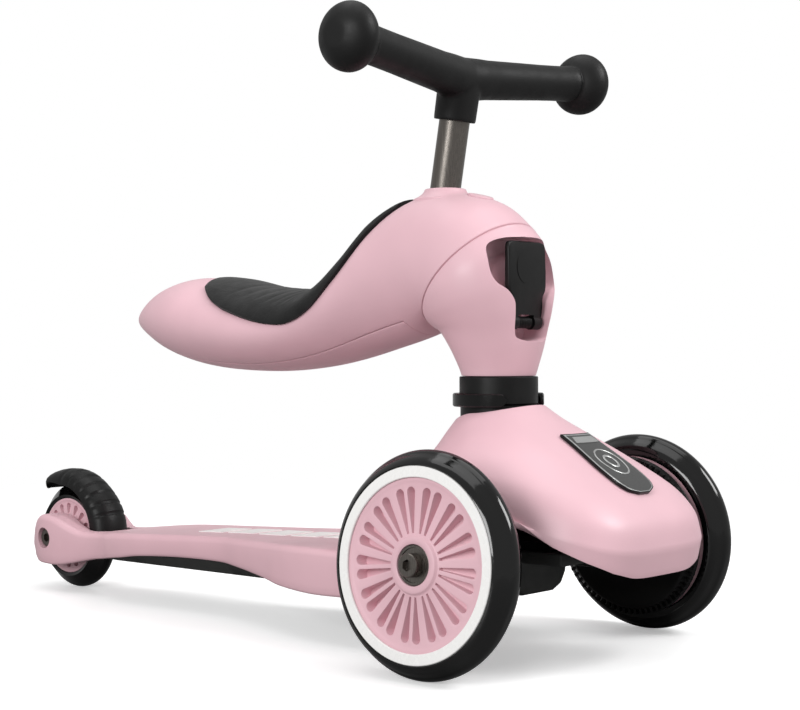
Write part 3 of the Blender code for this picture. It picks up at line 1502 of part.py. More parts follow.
def stem_shell():
    count = 28
    parts = stem_sections(-GAP)
    shell = loft("stem_shell", [section_ring(part, count) for part in parts], "pink")
    centre = Vector((0, COLUMN_Y, 0))
    up = Vector((0, 0, 1))
    base = parts[0][0].z
    spigot_bore = rod(
        "spigot_bore", SPIGOT_RADIUS + GAP,
        centre + up * (base - 5 * MM), centre + up * (base + SPIGOT_DEPTH), None,
        sides=COLUMN_SIDES,
    )
    floor_top = base + SPIGOT_DEPTH + STEM_FLOOR
    bolt_hole = rod(
        "stem_bolt_hole", BOLT_RADIUS + GAP,
        centre + up * base, centre + up * (floor_top + 3 * MM), None,
    )
    window = keyhole("window", FRONT_AXLE_Y + 26 * MM)
    d = POCKET_DEPTH
    core_parts = [shrink(part, d, d, d) for part in parts[2:]]
    window_core = loft("window_core", [section_ring(part, 20) for part in core_parts], None)
    cut(window, window_core)
    d = POCKET_DEPTH + STEM_INNER_WALL
    room_parts = [
        (
            centre + Vector((0, -NUT_RADIUS - 1.5 * MM, floor_top)),
            centre + Vector((0, NUT_RADIUS + 1.5 * MM, floor_top)),
            NUT_RADIUS + 1.5 * MM,
        )
    ]
    room_parts += [shrink(part, d, d, d) for part in parts[4:-1]]
    room_parts.append(shrink(seam_section(-GAP - END_PLATE), d, d, d))
    room = loft("stem_room", [section_ring(part, 20) for part in room_parts], None)
    cut(shell, spigot_bore, bolt_hole, window, room)
    swivel_hole = rod(
        "stem_swivel_hole", BOLT_RADIUS + GAP,
        SWIVEL_CENTRE - SWIVEL_AXIS * (GAP + 2 * END_PLATE), SWIVEL_CENTRE + SWIVEL_AXIS * 0.01,
        None,
    )
    pin = Vector((0, FRONT_AXLE_Y + LEVER_PIN_SETBACK, LEVER_PIN_HEIGHT))
    half = Vector((LEVER_PIN_HALF_LENGTH + GAP, 0, 0))
    pin_hole = rod("lever_pin_hole", LEVER_PIN_RADIUS + GAP, pin - half, pin + half, None)
    cut(shell, swivel_hole, pin_hole)


def release_lever():
    """Hinged at its foot; its top swings forward when it is pulled."""
    f = FRONT_AXLE_Y
    plate = [
        (12.6, 243.2), (11.2, 241.5), (10.7, 237.0), (10.7, 214.5), (14.5, 213.0),
        (14.5, 241.8), (13.8, 243.2),
    ]
    points = [(f + y * MM, z * MM + UPPER_LIFT) for y, z in plate]
    lever = side_plate("release_lever", points, -LEVER_HALF_WIDTH, LEVER_HALF_WIDTH, "black")
    foot = [
        (10.9, 219.0), (11.0, 201.5), (12.9, 194.5), (18.6, 195.5), (18.2, 199.0),
        (15.0, 204.5), (14.3, 219.0),
    ]
    points = [(f + y * MM, z * MM + UPPER_LIFT) for y, z in foot]
    join(
        lever,
        side_plate("lever_foot", points, -LEVER_FOOT_HALF_WIDTH, LEVER_FOOT_HALF_WIDTH, None),
    )
    pin = Vector((0, f + LEVER_PIN_SETBACK, LEVER_PIN_HEIGHT))
    side = Vector((LEVER_FOOT_HALF_WIDTH + 0.5 * MM, 0, 0))
    eye = rod("lever_eye", LEVER_EYE_RADIUS, pin - side, pin + side, None)
    join(lever, eye)
    half = Vector((LEVER_SPRING_HALF_LENGTH + GAP, 0, 0))
    spring_room = rod("lever_spring_room", LEVER_EYE_RADIUS + 1.2 * MM, pin - half, pin + half, None)
    reach = Vector((0.1, 0, 0))
    pin_hole = rod("lever_eye_hole", LEVER_PIN_RADIUS + SLIDING_GAP, pin - reach, pin + reach, None)
    cut(lever, spring_room, pin_hole)
    half = Vector((LEVER_PIN_HALF_LENGTH, 0, 0))
    rod("lever_pin", LEVER_PIN_RADIUS, pin - half, pin + half, "steel")
    spring = turned(
        "lever_spring",
        ring_profile(
            LEVER_PIN_RADIUS + GAP, LEVER_EYE_RADIUS - 0.4 * MM,
            -LEVER_SPRING_HALF_LENGTH, LEVER_SPRING_HALF_LENGTH,
        ),
        "spring", sides=12, closed=True,
    )
    place(spring, pin, Vector((1, 0, 0)))


def swivel_bolt():
    """Clamps the stem's end plate to the seat's, and the seat turns about it."""
    under_plate = SWIVEL_CENTRE - SWIVEL_AXIS * (GAP + END_PLATE + GAP)
    shank = 2 * END_PLATE + 3 * GAP + GAP + NUT_HEIGHT
    hex_socket_bolt("swivel_bolt", shank, under_plate, -SWIVEL_AXIS)
    hex_nut("swivel_nut", SWIVEL_CENTRE + SWIVEL_AXIS * (2 * GAP + END_PLATE), SWIVEL_AXIS)


# Seat

def seat_top(y):
    """Height of the seat's top line."""
    tops = [part[0] for part in seat_sections()]
    return interpolate([(top.y, top.z) for top in tops], y)


def station_step(station, angle, distance):
    """The part of a station that lies in a distance along the seat."""
    span = seat_point(station + 0.1, angle) - seat_point(station - 0.1, angle)
    return 0.2 * distance / span.length


def pad_rows(lift_edge, lift_middle, margin):
    """The pad's grid at two lifts, grown all round by a margin."""
    rows = []
    columns = 8
    for index, (station, half_angle) in enumerate(PAD_OUTLINE):
        if index == 0:
            station -= station_step(station, 0, margin)
        if index == len(PAD_OUTLINE) - 1:
            station += station_step(station, 0, margin)
        half = math.radians(half_angle) + margin / SEAT_SIDE_RADIUS
        row = []
        for column in range(columns + 1):
            share = 2 * column / columns - 1
            edge = max(abs(share), abs(2 * index / (len(PAD_OUTLINE) - 1) - 1)) ** 6
            lift = lift_middle + (lift_edge - lift_middle) * edge
            row.append(seat_point(station, half * share, lift))
        rows.append(row)
    return rows


def seat_pad():
    patch("seat_pad", pad_rows(-PAD_DEPTH, -PAD_DEPTH, 0), pad_rows(-PAD_EDGE_DROP, PAD_CROWN, 0),
          "pad")
    bed = -PAD_DEPTH - PAD_BED_GAP
    above = 3 * MM
    return patch(
        "pad_bed", pad_rows(bed, bed, SOFT_SEAM), pad_rows(above, above, SOFT_SEAM), None
    )


def panel_rows(lift, margin):
    rows = []
    stations = [PANEL_START - station_step(PANEL_START, math.pi, 1.5 * margin)]
    stations += [s for s in range(2, 13) if PANEL_START + 0.3 < s < PANEL_END - 0.3]
    stations.append(PANEL_END + station_step(PANEL_END, math.pi, 1.5 * margin))
    half = math.radians(PANEL_HALF_ANGLE) + margin / SEAT_SIDE_RADIUS
    columns = 6
    for station in stations:
        row = []
        for column in range(columns + 1):
            row.append(seat_point(station, math.pi + half * (2 * column / columns - 1), lift))
        rows.append(row)
    return rows


def seat_room_ring(station):
    """Thicker walls above, where the pad's bed is cut in, than below."""
    ring = []
    for index in range(ROOM_SIDES):
        angle = 2 * math.pi * index / ROOM_SIDES
        below = min(1, max(0, 2 * (-math.cos(angle) - 0.2)))
        wall = SEAT_WALL + (PAD_DEPTH + PAD_BED_GAP) * (1 - below)
        ring.append(seat_point(station, angle, -wall))
    return ring


def seat():
    parts = seat_sections()
    count = 20
    shell = loft("seat_shell", [section_ring(part, count) for part in parts], "pink")
    wall = PAD_DEPTH + PAD_BED_GAP + SEAT_WALL
    front = shrink(seam_section(GAP + END_PLATE), wall, wall, wall)
    inside = [section_ring(front, ROOM_SIDES)]
    inside += [seat_room_ring(station) for station in SEAT_ROOM_STATIONS]
    room = loft("seat_room", inside, None)
    cut(shell, room, seat_pad())
    opening = patch(
        "panel_opening", panel_rows(-12 * MM, SOFT_SEAM), panel_rows(6 * MM, SOFT_SEAM), None
    )
    cut(shell, opening)
    panel = patch(
        "seat_underside_panel", panel_rows(-PANEL_THICKNESS, 0), panel_rows(0, 0), "pink"
    )
    for index, station in enumerate(PANEL_SCREW_STATIONS):
        outside = seat_point(station, math.pi)
        down = (outside - seat_point(station, math.pi, -5 * MM)).normalized()
        inner = seat_point(station, math.pi, -PANEL_THICKNESS - BOSS_STANDOFF)
        roof = seat_top(inner.y) - PAD_DEPTH - PAD_BED_GAP - 0.6 * SEAT_WALL
        boss = rod(
            f"seat_boss_{index}", BOSS_RADIUS, inner, inner - down * (roof - inner.z), None,
        )
        join(shell, boss)
        hole = screw_hole(f"panel_screw_hole_{index}", 14 * MM, outside, down)
        cut(shell, hole)
        cut(panel, hole)
        screw(f"panel_screw_{index + 1}", 14 * MM, outside - down * GAP, down)
    swivel_hole = rod(
        "seat_swivel_hole", BOLT_RADIUS + SLIDING_GAP,
        SWIVEL_CENTRE - SWIVEL_AXIS * 0.005, SWIVEL_CENTRE + SWIVEL_AXIS * (3 * END_PLATE), None,
    )
    cut(shell, swivel_hole)
    return shell


# Bar, handlebar and release button

def bar_parts(shell):
    """The tube, its socket in the seat, the collar around it and the handlebar."""
    foot = BAR_POINT - BAR_AXIS * TUBE_FOOT_DEPTH
    handle_bottom = BAR_POINT + BAR_AXIS * TUBE_EXPOSED
    tube_top = handle_bottom + BAR_AXIS * (HANDLE_SOCKET_DEPTH - 3 * MM)
    up = Vector((0, 0, 1))
    collar = rod(
        "bar_collar", BAR_COLLAR_RADIUS + BAR_COLLAR_FLARE, BAR_POINT - up * BAR_COLLAR_FLARE,
        BAR_POINT, None, sides=20, end_radius=BAR_COLLAR_RADIUS,
    )
    neck = rod(
        "bar_neck", BAR_COLLAR_RADIUS + 2.4 * MM, BAR_POINT - BAR_AXIS * 22 * MM,
        BAR_POINT - BAR_AXIS * 4 * MM, None, sides=20,
    )
    join(shell, neck, collar)
    sleeve_top = BAR_POINT - BAR_AXIS * 4 * MM
    sleeve_foot = foot - BAR_AXIS * 3 * MM
    bore = rod(
        "bar_socket_room", BAR_SOCKET_RADIUS + GAP,
        sleeve_foot - BAR_AXIS * MM, sleeve_top + BAR_AXIS * GAP, None, sides=20,
    )
    mouth = rod(
        "bar_mouth", TUBE_RADIUS + SLIDING_GAP,
        BAR_POINT - BAR_AXIS * 10 * MM, BAR_POINT + BAR_AXIS * 10 * MM, None, sides=20,
    )
    cut(shell, bore, mouth)
    length = (sleeve_top - foot).length
    sleeve = turned(
        "bar_socket",
        ring_profile(TUBE_RADIUS + SLIDING_GAP, BAR_SOCKET_RADIUS, 0, length),
        "black", sides=20, closed=True,
    )
    place(sleeve, foot, BAR_AXIS)
    tube_length = (tube_top - foot).length
    tube = turned(
        "bar_tube",
        ring_profile(TUBE_RADIUS - TUBE_WALL, TUBE_RADIUS, GAP, tube_length),
        "steel", sides=20, closed=True,
    )
    place(tube, foot, BAR_AXIS)
    return handle_bottom, tube_top


def knob_profile(steps):
    """(distance along the bar from the knob's middle, radius), outer face first."""
    points = []
    for index in range(steps + 1):
        turn = math.radians(20 + 130 * index / steps)
        points.append((KNOB_HALF_WIDTH * math.cos(turn), KNOB_RADIUS * math.sin(turn)))
    return points


def handlebar(handle_bottom, tube_top):
    """One moulding: two knobs, the arms between them and the socket for the tube."""
    middle = handle_bottom + BAR_AXIS * HANDLE_SOCKET_DEPTH
    half = [(HANDLE_HALF_SPAN + along, radius) for along, radius in knob_profile(6)]
    neck = HANDLE_HALF_SPAN - KNOB_HALF_WIDTH
    half += [
        (neck - 2 * MM, HANDLE_RADIUS + 0.8 * MM),
        (neck - 14 * MM, HANDLE_RADIUS),
        (0.3 * HANDLE_HALF_SPAN, HANDLE_RADIUS + 0.5 * MM),
        (0.12 * HANDLE_HALF_SPAN, HANDLE_RADIUS + 2 * MM),
    ]
    profile = [(-x, radius) for x, radius in half]
    profile += [(0, HANDLE_RADIUS + 2 * MM)]
    profile += [(x, radius) for x, radius in reversed(half)]
    rings = []
    for x, radius in profile:
        share = min(1, abs(x) / HANDLE_HALF_SPAN)
        lift = HANDLE_RISE * share
        sweep = HANDLE_SWEEP * share
        centre = middle + Vector((x, -sweep, lift))
        ring = []
        for index in range(14):
            turn = 2 * math.pi * index / 14
            ring.append(centre + Vector((0, radius * math.cos(turn), radius * math.sin(turn))))
        rings.append(ring)
    bar = loft("handlebar", rings, "black")
    socket = rod("handle_socket", HANDLE_SOCKET_RADIUS, handle_bottom, middle, None, sides=20)
    join(bar, socket)
    bore = rod(
        "handle_bore", TUBE_RADIUS + GAP, handle_bottom - BAR_AXIS * 5 * MM,
        tube_top + BAR_AXIS * GAP, None, sides=20,
    )
    cut(bar, bore)


def release_button(shell):
    """A round button in front of the bar's collar that frees the bar."""
    station = 1.55
    point = seat_point(station, 0)
    axis = seat_point(station, 0, MM) - point
    axis.x = 0
    axis.normalize()
    form = loft("button_form", [section_ring(part, 28) for part in seat_sections()], None)
    button = rod(
        "bar_release_button", BUTTON_RADIUS, point - axis * BUTTON_DEPTH, point + axis * 5 * MM,
        "pink", sides=20,
    )
    boolean(button, form, "INTERSECT")
    hole = rod(
        "button_hole", BUTTON_RADIUS + SLIDING_GAP, point - axis * 20 * MM, point + axis * 10 * MM,
        None, sides=20,
    )
    cut(shell, hole)
    spring = turned(
        "button_spring",
        ring_profile(2.2 * MM, 4 * MM, 0, 8 * MM),
        "spring", sides=12, closed=True,
    )
    place(spring, point - axis * (BUTTON_DEPTH + 8 * MM + GAP), axis)


def hang(pivot_name, location, axis, *names):
    """Parents moving pieces, where they lie, to an empty on their joint's axis."""
    pivot = bpy.data.objects.new(pivot_name, None)
    pivot.empty_display_size = 10 * MM
    SCOOTER.objects.link(pivot)
    place(pivot, location, axis)
    inverse = pivot.matrix_world.inverted()
    for name in names:
        obj = bpy.data.objects[name]
        world = obj.matrix_world.copy()
        obj.parent = pivot
        obj.matrix_parent_inverse = inverse
        obj.matrix_world = world


def hang_moving_pieces():
    across = Vector((1, 0, 0))
    up = Vector((0, 0, 1))
    for side, label in ((-1, "right"), (1, "left")):
        hang(
            f"steering_pivot_{label}", Vector((side * KINGPIN_OFFSET, FRONT_AXLE_Y, 0)), up,
            f"steering_knuckle_{label}", f"front_axle_bolt_{label}", f"tie_rod_pin_{label}",
        )
    hang("tie_rod_pivot", Vector((-KINGPIN_OFFSET, FRONT_AXLE_Y + ARM_LENGTH, 0)), up, "tie_rod")
    hang(
        "brake_pivot", Vector((0, REAR_AXLE_Y - FENDER_PIN_LEAD, FENDER_PIN_HEIGHT)), across,
        "brake_fender",
    )
    hang(
        "lever_pivot", Vector((0, FRONT_AXLE_Y + LEVER_PIN_SETBACK, LEVER_PIN_HEIGHT)), across,
        "release_lever",
    )
    hang(
        "column_slide", Vector((0, COLUMN_Y, SHOULDER_HEIGHT)), up, "stem_column",
        "column_collar", "lock_clip", "stem_bolt", "stem_nut", "stem_shell", "lever_pin",
        "lever_spring", "swivel_bolt",
    )
    hang(
        "seat_pivot", SWIVEL_CENTRE, SWIVEL_AXIS, "seat_shell", "seat_pad",
        "seat_underside_panel", "panel_screw_1", "panel_screw_2", "swivel_nut", "bar_socket",
        "bar_release_button", "button_spring",
    )
    hang("bar_slide", BAR_POINT, BAR_AXIS, "bar_tube", "handlebar")


def build():
    for side, label in ((-1, "right"), (1, "left")):
        front_wheel(side, label)
        knuckle(side, label)
        kingpin(side, label)
    rear_wheel()
    axle_beam()
    tie_rod()
    centring_spring()
    deck()
    underside_cover()
    fender()
    cowl()
    badge()
    column_socket()
    column()
    stem_shell()
    release_lever()
    swivel_bolt()
    shell = seat()
    handle_bottom, tube_top = bar_parts(shell)
    release_button(shell)
    handlebar(handle_bottom, tube_top)
    bpy.context.view_layer.update()
    hang_moving_pieces()


build()
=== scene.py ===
"""Three-wheel kick scooter in its ride-on form: shapes, finishes and studio.

Metres, +Z up. The scooter faces -Y, the rider's left is +X and the floor is Z = 0.
"""

import math

import bmesh
import bpy
from bpy.props import FloatProperty, FloatVectorProperty, PointerProperty
from mathutils import Matrix, Vector


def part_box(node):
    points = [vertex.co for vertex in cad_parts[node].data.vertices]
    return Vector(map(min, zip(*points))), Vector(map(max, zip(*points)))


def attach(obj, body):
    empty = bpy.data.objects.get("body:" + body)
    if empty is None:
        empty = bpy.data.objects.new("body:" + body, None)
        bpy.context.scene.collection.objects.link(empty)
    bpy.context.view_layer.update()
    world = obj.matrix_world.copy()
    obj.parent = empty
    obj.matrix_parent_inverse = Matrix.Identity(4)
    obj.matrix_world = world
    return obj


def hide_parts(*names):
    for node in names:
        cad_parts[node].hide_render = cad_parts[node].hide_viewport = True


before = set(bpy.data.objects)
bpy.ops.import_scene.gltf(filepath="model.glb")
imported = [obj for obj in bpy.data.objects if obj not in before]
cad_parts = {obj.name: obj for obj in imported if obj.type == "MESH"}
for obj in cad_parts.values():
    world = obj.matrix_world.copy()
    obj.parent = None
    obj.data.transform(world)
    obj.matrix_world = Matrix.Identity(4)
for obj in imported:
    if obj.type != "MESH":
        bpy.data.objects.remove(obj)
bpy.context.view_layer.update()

bl_info = {
    "name": "Three-wheel kick scooter",
    "version": (1, 0, 0),
    "blender": (4, 5, 0),
    "location": "View3D > Sidebar > Scooter",
    "description": "Models a toddler's three-wheel kick scooter with a swivelling seat",
    "category": "Add Mesh",
}

MM = 0.001
GAP = 0.3 * MM
X_AXIS = Vector((1, 0, 0))
Z_AXIS = Vector((0, 0, 1))

FRONT_AXLE_Y = (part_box("front_tyre_left")[0][1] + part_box("front_tyre_left")[1][1]) / 2
REAR_AXLE_Y = (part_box("rear_tyre")[0][1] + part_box("rear_tyre")[1][1]) / 2
COLUMN_Y = FRONT_AXLE_Y + 33 * MM
SWIVEL_CENTRE = Vector((0, COLUMN_Y + 13.4 * MM, 223.9 * MM))
SWIVEL_AXIS = Vector((0, math.sin(math.radians(45)), math.cos(math.radians(45))))
SEAM_RADIUS = 42.6 * MM
BAR_POINT = Vector((0, FRONT_AXLE_Y + 74.1 * MM, 278.2 * MM))
BAR_AXIS = Vector((0, -math.sin(math.radians(10.2)), math.cos(math.radians(10.2))))
FRONT_RADIUS = 62.5 * MM
REAR_RADIUS = 39.7 * MM
REAR_AXLE = Vector((0, REAR_AXLE_Y, REAR_RADIUS))
HALF_TRACK = 108.3 * MM     # from the middle to the centre of a front wheel
CAMBER = math.radians(4.4)
KINGPIN_X = 66 * MM
KINGPIN_HOLE = 4.15 * MM    # radius
LEVER_PIN = Vector((0, FRONT_AXLE_Y + 15.4 * MM, 195 * MM))
WELL_RADIUS = 7.7 * MM      # of the recess for the rear bolt's head
SHELL_SIDES = 96            # points round the stem and the seat
STATION_LENGTH = 22 * MM    # about one station of the seat, along it
SHELL_GIRTH = 25 * MM       # about one radian of the seat, round it

# Stem and seat sections, in millimetres: the top (or front) point and the bottom (or back)
# point, each as distance behind the front axle and height, then the half width.
STEM_SECTIONS = [
    (10.6, 163.0, 55.4, 163.0, 22.2),
    (8.6, 168.8, 57.8, 168.8, 23.5),
    (5.7, 179.3, 63.0, 179.3, 27.2),
    (3.8, 189.3, 69.4, 189.3, 31.2),
    (1.6, 204.7, 72.3, 190.9, 36.1),
    (1.5, 221.4, 74.7, 192.4, 40.6),
    (5.9, 240.4, 76.1, 193.3, 42.8),
]
SEAT_SECTIONS = [
    (33.1, 267.4, 81.7, 190.5, 42.8),
    (58.2, 274.6, 89.7, 187.0, 43.4),
    (86.5, 274.0, 100.8, 183.6, 44.0),
    (109.0, 262.8, 117.9, 179.4, 44.6),
    (125.7, 244.0, 139.9, 174.3, 45.9),
    (140.2, 229.0, 157.9, 170.8, 47.4),
    (154.2, 219.4, 176.0, 168.0, 49.6),
    (168.8, 215.2, 196.2, 165.9, 51.1),
    (192.5, 215.2, 215.2, 165.0, 52.5),
    (225.1, 218.4, 238.1, 165.3, 53.3),
    (255.1, 225.2, 262.0, 166.8, 52.4),
    (285.0, 230.0, 285.0, 170.2, 49.1),
    (311.9, 225.6, 308.2, 176.6, 41.0),
    (333.5, 214.3, 328.7, 186.5, 29.1),
    (345.0, 206.0, 344.2, 194.0, 16.0),
    (350.5, 200.6, 351.0, 198.0, 4.0),
]
# Outline of the seat pad: seat station and half angle in degrees from the top line
PAD_OUTLINE = [
    (3.4, 20.0), (3.6, 30.0), (4.0, 43.0), (4.5, 55.0), (5.2, 68.0), (6.0, 80.0), (7.0, 83.0),
    (8.0, 77.0), (9.0, 69.0), (10.0, 57.0), (10.6, 48.0), (11.1, 34.0), (11.36, 12.0),
]
# Cowl rings, in millimetres: front and rear reach behind the front axle, half width,
# squareness, then the height at the front, the side and the rear.
COWL_RINGS = [
    (4.2, 60.0, 26.3, 2.0, 146.0, 141.3, 133.0),
    (-8.0, 66.0, 33.0, 2.0, 137.8, 135.6, 124.5),
    (-23.5, 70.0, 40.5, 2.4, 127.6, 129.2, 114.5),
    (-43.0, 80.0, 50.5, 2.8, 115.0, 121.0, 99.0),
    (-64.5, 97.0, 59.5, 3.5, 100.5, 110.2, 83.0),
    (-74.5, 107.0, 63.4, 3.9, 91.5, 104.4, 75.0),
    (-82.0, 116.0, 66.6, 4.0, 81.0, 98.8, 69.0),
    (-84.7, 125.0, 70.1, 4.0, 67.6, 92.6, 63.0),
]
COWL_RIM = (-81.8, 125.0, 71.8, 4.0)
# Height of the cowl's lower edge, as distance behind the front axle and height
COWL_RIM_HEIGHTS = [
    (-82.0, 52.5), (-80.0, 55.6), (-75.0, 60.6), (-63.0, 67.3), (-55.0, 71.2), (-45.0, 77.2),
    (-35.0, 84.1), (-20.0, 88.0), (0.0, 89.8), (20.0, 86.4), (40.0, 73.8), (60.0, 59.6),
    (130.0, 59.2),
]
# Deck sections, in millimetres: distance from the axle, half width, top and lower edge
DECK_FRONT_SECTIONS = [      # distance behind the front axle
    (62.0, 69.5, 58.5, 31.5),
    (104.0, 71.0, 58.5, 30.5),
    (130.0, 68.5, 58.2, 30.0),
    (160.0, 62.3, 57.5, 31.2),
    (180.0, 55.9, 56.7, 33.4),
    (200.0, 49.6, 55.9, 35.2),
    (220.0, 44.4, 55.3, 36.8),
    (240.0, 40.6, 54.8, 38.0),
]
DECK_REAR_SECTIONS = [       # distance ahead of the rear axle
    (155.6, 40.8, 53.0, 37.8),
    (115.6, 41.6, 51.2, 35.6),
    (95.6, 41.0, 50.2, 33.0),
    (77.0, 37.5, 48.8, 30.6),
    (62.0, 31.0, 47.4, 28.4),
    (48.0, 27.8, 46.2, 26.6),
    (34.0, 28.2, 46.0, 24.0),
    (23.0, 31.2, 50.0, 21.8),
    (12.0, 34.2, 55.0, 20.4),
    (0.0, 34.6, 57.2, 20.6),
    (-9.0, 32.8, 55.4, 21.0),
    (-16.0, 29.4, 50.4, 22.6),
    (-20.0, 27.2, 45.6, 24.4),
    (-23.0, 25.4, 38.6, 27.6),
]
# Outer radius of the fender about the rear axle, in millimetres, by angle up from the front
FENDER_CONTOUR = [
    (4.0, 45.4), (18.0, 45.8), (46.0, 45.9), (59.0, 46.3), (70.0, 47.3), (80.0, 48.7),
    (90.0, 49.8), (100.0, 50.6), (110.0, 51.7), (118.0, 52.2), (124.0, 51.4), (129.0, 49.0),
]
FENDER_SKIRT = [(4.0, 30.5), (45.0, 32.5), (67.0, 35.0), (88.0, 37.4), (100.0, 38.6)]
# Half outline of the lever's window, in millimetres: sideways and height
WINDOW_OUTLINE = [
    (6, 245.5), (18, 244.8), (26, 242.5), (30, 238.5), (31.3, 232), (31, 224), (28.5, 218),
    (23, 213.5), (19, 207.5), (17.8, 201), (16.3, 190), (14, 185.5), (6, 183.5),
]


# Readings of the tables

def blend_rows(rows, station):
    """A row between table rows, on a smooth curve through them."""
    index = min(max(int(station), 0), len(rows) - 2)
    t = station - index
    before = rows[max(index - 1, 0)]
    near = rows[index]
    far = rows[index + 1]
    after = rows[min(index + 2, len(rows) - 1)]
    reading = []
    for a, b, c, d in zip(before, near, far, after):
        bend = (2 * a - 5 * b + 4 * c - d) * t * t + (3 * b - a - 3 * c + d) * t ** 3
        reading.append(b + 0.5 * ((c - a) * t + bend))
    return reading


def read_at(table, key):
    """The smooth reading of a table of (key, value) rows at a key."""
    if key <= table[0][0]:
        return table[0][1]
    for index in range(len(table) - 1):
        low, high = table[index][0], table[index + 1][0]
        if key <= high:
            return blend_rows(table, index + (key - low) / (high - low))[1]
    return table[-1][1]


def spread(start, end, count):
    return [start + (end - start) * index / (count - 1) for index in range(count)]


def in_mm(pairs):
    return [(a * MM, b * MM) for a, b in pairs]


def far_side(near):
    """The (r, z) points of one side mirrored in z, in the order that closes the profile."""
    return [(r, -z) for r, z in reversed(near)]


def across_ring(y, right):
    """A ring at y from the (x, z) points of its right half."""
    left = [(-x, z) for x, z in reversed(right)]
    return [Vector((x, y, z)) for x, z in right + left]


# Modelling

def clear_selection():
    if bpy.context.mode != "OBJECT":
        bpy.ops.object.mode_set(mode="OBJECT")
    bpy.ops.object.select_all(action="DESELECT")


def pick(obj):
    clear_selection()
    obj.select_set(True)
    bpy.context.view_layer.objects.active = obj


def close_up(obj):
    """Merges doubled points and turns every face outwards."""
    pick(obj)
    bpy.ops.object.mode_set(mode="EDIT")
    bpy.ops.mesh.select_all(action="SELECT")
    bpy.ops.mesh.remove_doubles(threshold=0.002 * MM)
    bpy.ops.mesh.normals_make_consistent(inside=False)
    bpy.ops.object.mode_set(mode="OBJECT")
    return obj


def modify(obj, kind, **settings):
    """Adds a modifier with its settings and applies it."""
    pick(obj)
    modifier = obj.modifiers.new(kind.title(), kind)
    for key, value in settings.items():
        setattr(modifier, key, value)
    bpy.ops.object.modifier_apply(modifier=modifier.name)
    return obj


def soften(obj, width, angle=35, segments=2):
    """Rounds the edges that turn by more than an angle."""
    modify(
        obj, "BEVEL", width=width, segments=segments, limit_method="ANGLE",
        angle_limit=math.radians(angle), use_clamp_overlap=True, harden_normals=False,
    )
    return obj


def combine(obj, operation, *others):
    for other in others:
        modify(obj, "BOOLEAN", object=other, operation=operation, solver="EXACT")
        bpy.data.objects.remove(other, do_unlink=True)
    return obj


def join(pieces):
    """Makes one object of several."""
    whole = pieces[0]
    for piece in pieces[1:]:
        pick(whole)
        piece.select_set(True)
        bpy.ops.object.join()
    return whole


def carve(obj, *tools):
    return combine(obj, "DIFFERENCE", *tools)


def fuse(obj, *parts):
    return combine(obj, "UNION", *parts)


def settle(obj, location, axis=Z_AXIS):
    """Moves a piece modelled about Z onto its axis, with its place in its mesh."""
    turn = axis.to_track_quat("Z", "Y").to_matrix().to_4x4()
    obj.data.transform(Matrix.Translation(location) @ turn)
    return obj


def spun(name, profile, location=Vector(), axis=Z_AXIS, sides=96):
    """A closed profile of (radius, height) points spun about an axis."""
    clear_selection()
    bpy.ops.mesh.primitive_circle_add(vertices=len(profile), radius=10 * MM, location=(0, 0, 0))
    obj = bpy.context.object
    obj.name = name
    for vertex, (radius, height) in zip(obj.data.vertices, profile):
        vertex.co = (radius, 0, height)
    bpy.ops.object.mode_set(mode="EDIT")
    bpy.ops.mesh.select_all(action="SELECT")
    bpy.ops.mesh.spin(steps=sides, angle=2 * math.pi, center=(0, 0, 0), axis=(0, 0, 1))
    bpy.ops.object.mode_set(mode="OBJECT")
    close_up(obj)
    return settle(obj, location, axis)


def rod(name, radius, start, end, sides=48, end_radius=None):
    """A cylinder or cone between two points."""
    length = (end - start).length
    clear_selection()
    bpy.ops.mesh.primitive_cone_add(
        vertices=sides, radius1=radius, radius2=end_radius or radius, depth=length,
        location=(0, 0, length / 2),
    )
    obj = bpy.context.object
    obj.name = name
    bpy.ops.object.transform_apply(location=True, rotation=True, scale=True)
    return settle(obj, start, (end - start).normalized())


def crossbar(name, radius, centre, reach):
    """A rod along X through a point, as far to each side as it reaches."""
    return rod(name, radius, centre - X_AXIS * reach, centre + X_AXIS * reach)


def block(name, low, high):
    """A box between two corners."""
    low, high = Vector(low), Vector(high)
    clear_selection()
    bpy.ops.mesh.primitive_cube_add(size=1, location=(low + high) / 2, scale=high - low)
    obj = bpy.context.object
    obj.name = name
    bpy.ops.object.transform_apply(location=True, rotation=True, scale=True)
    return obj


def ringed(name, rings, closed=False):
    """A circle extruded from section to section, then capped, or joined end to end."""
    count = len(rings[0])
    clear_selection()
    bpy.ops.mesh.primitive_circle_add(vertices=count, radius=10 * MM, location=(0, 0, 0))
    obj = bpy.context.object
    obj.name = name
    for vertex, point in zip(obj.data.vertices, rings[0]):
        vertex.co = point
    bpy.ops.object.mode_set(mode="EDIT")
    bpy.ops.mesh.select_all(action="SELECT")
    if not closed:
        bpy.ops.mesh.edge_face_add()
    order = list(range(count))
    for ring in rings[1:]:
        bpy.ops.mesh.extrude_edges_move()
        grown = bmesh.from_edit_mesh(obj.data)
        grown.verts.index_update()
        grown.verts.ensure_lookup_table()
        known = len(grown.verts) - count
        following = []
        for index, point in zip(order, ring):
            vertex = grown.verts[index]
            partner = [edge.other_vert(vertex) for edge in vertex.link_edges]
            new = [other for other in partner if other.index >= known][0]
            new.co = point
            following.append(new.index)
        order = following
        bmesh.update_edit_mesh(obj.data)
    if closed:
        grown = bmesh.from_edit_mesh(obj.data)
        grown.verts.ensure_lookup_table()
        for index in range(count):
            following = (index + 1) % count
            corners = (index, following, order[following], order[index])
            grown.faces.new([grown.verts[corner] for corner in corners])
        bmesh.update_edit_mesh(obj.data)
    else:
        bpy.ops.mesh.edge_face_add()
    bpy.ops.object.mode_set(mode="OBJECT")
    return close_up(obj)


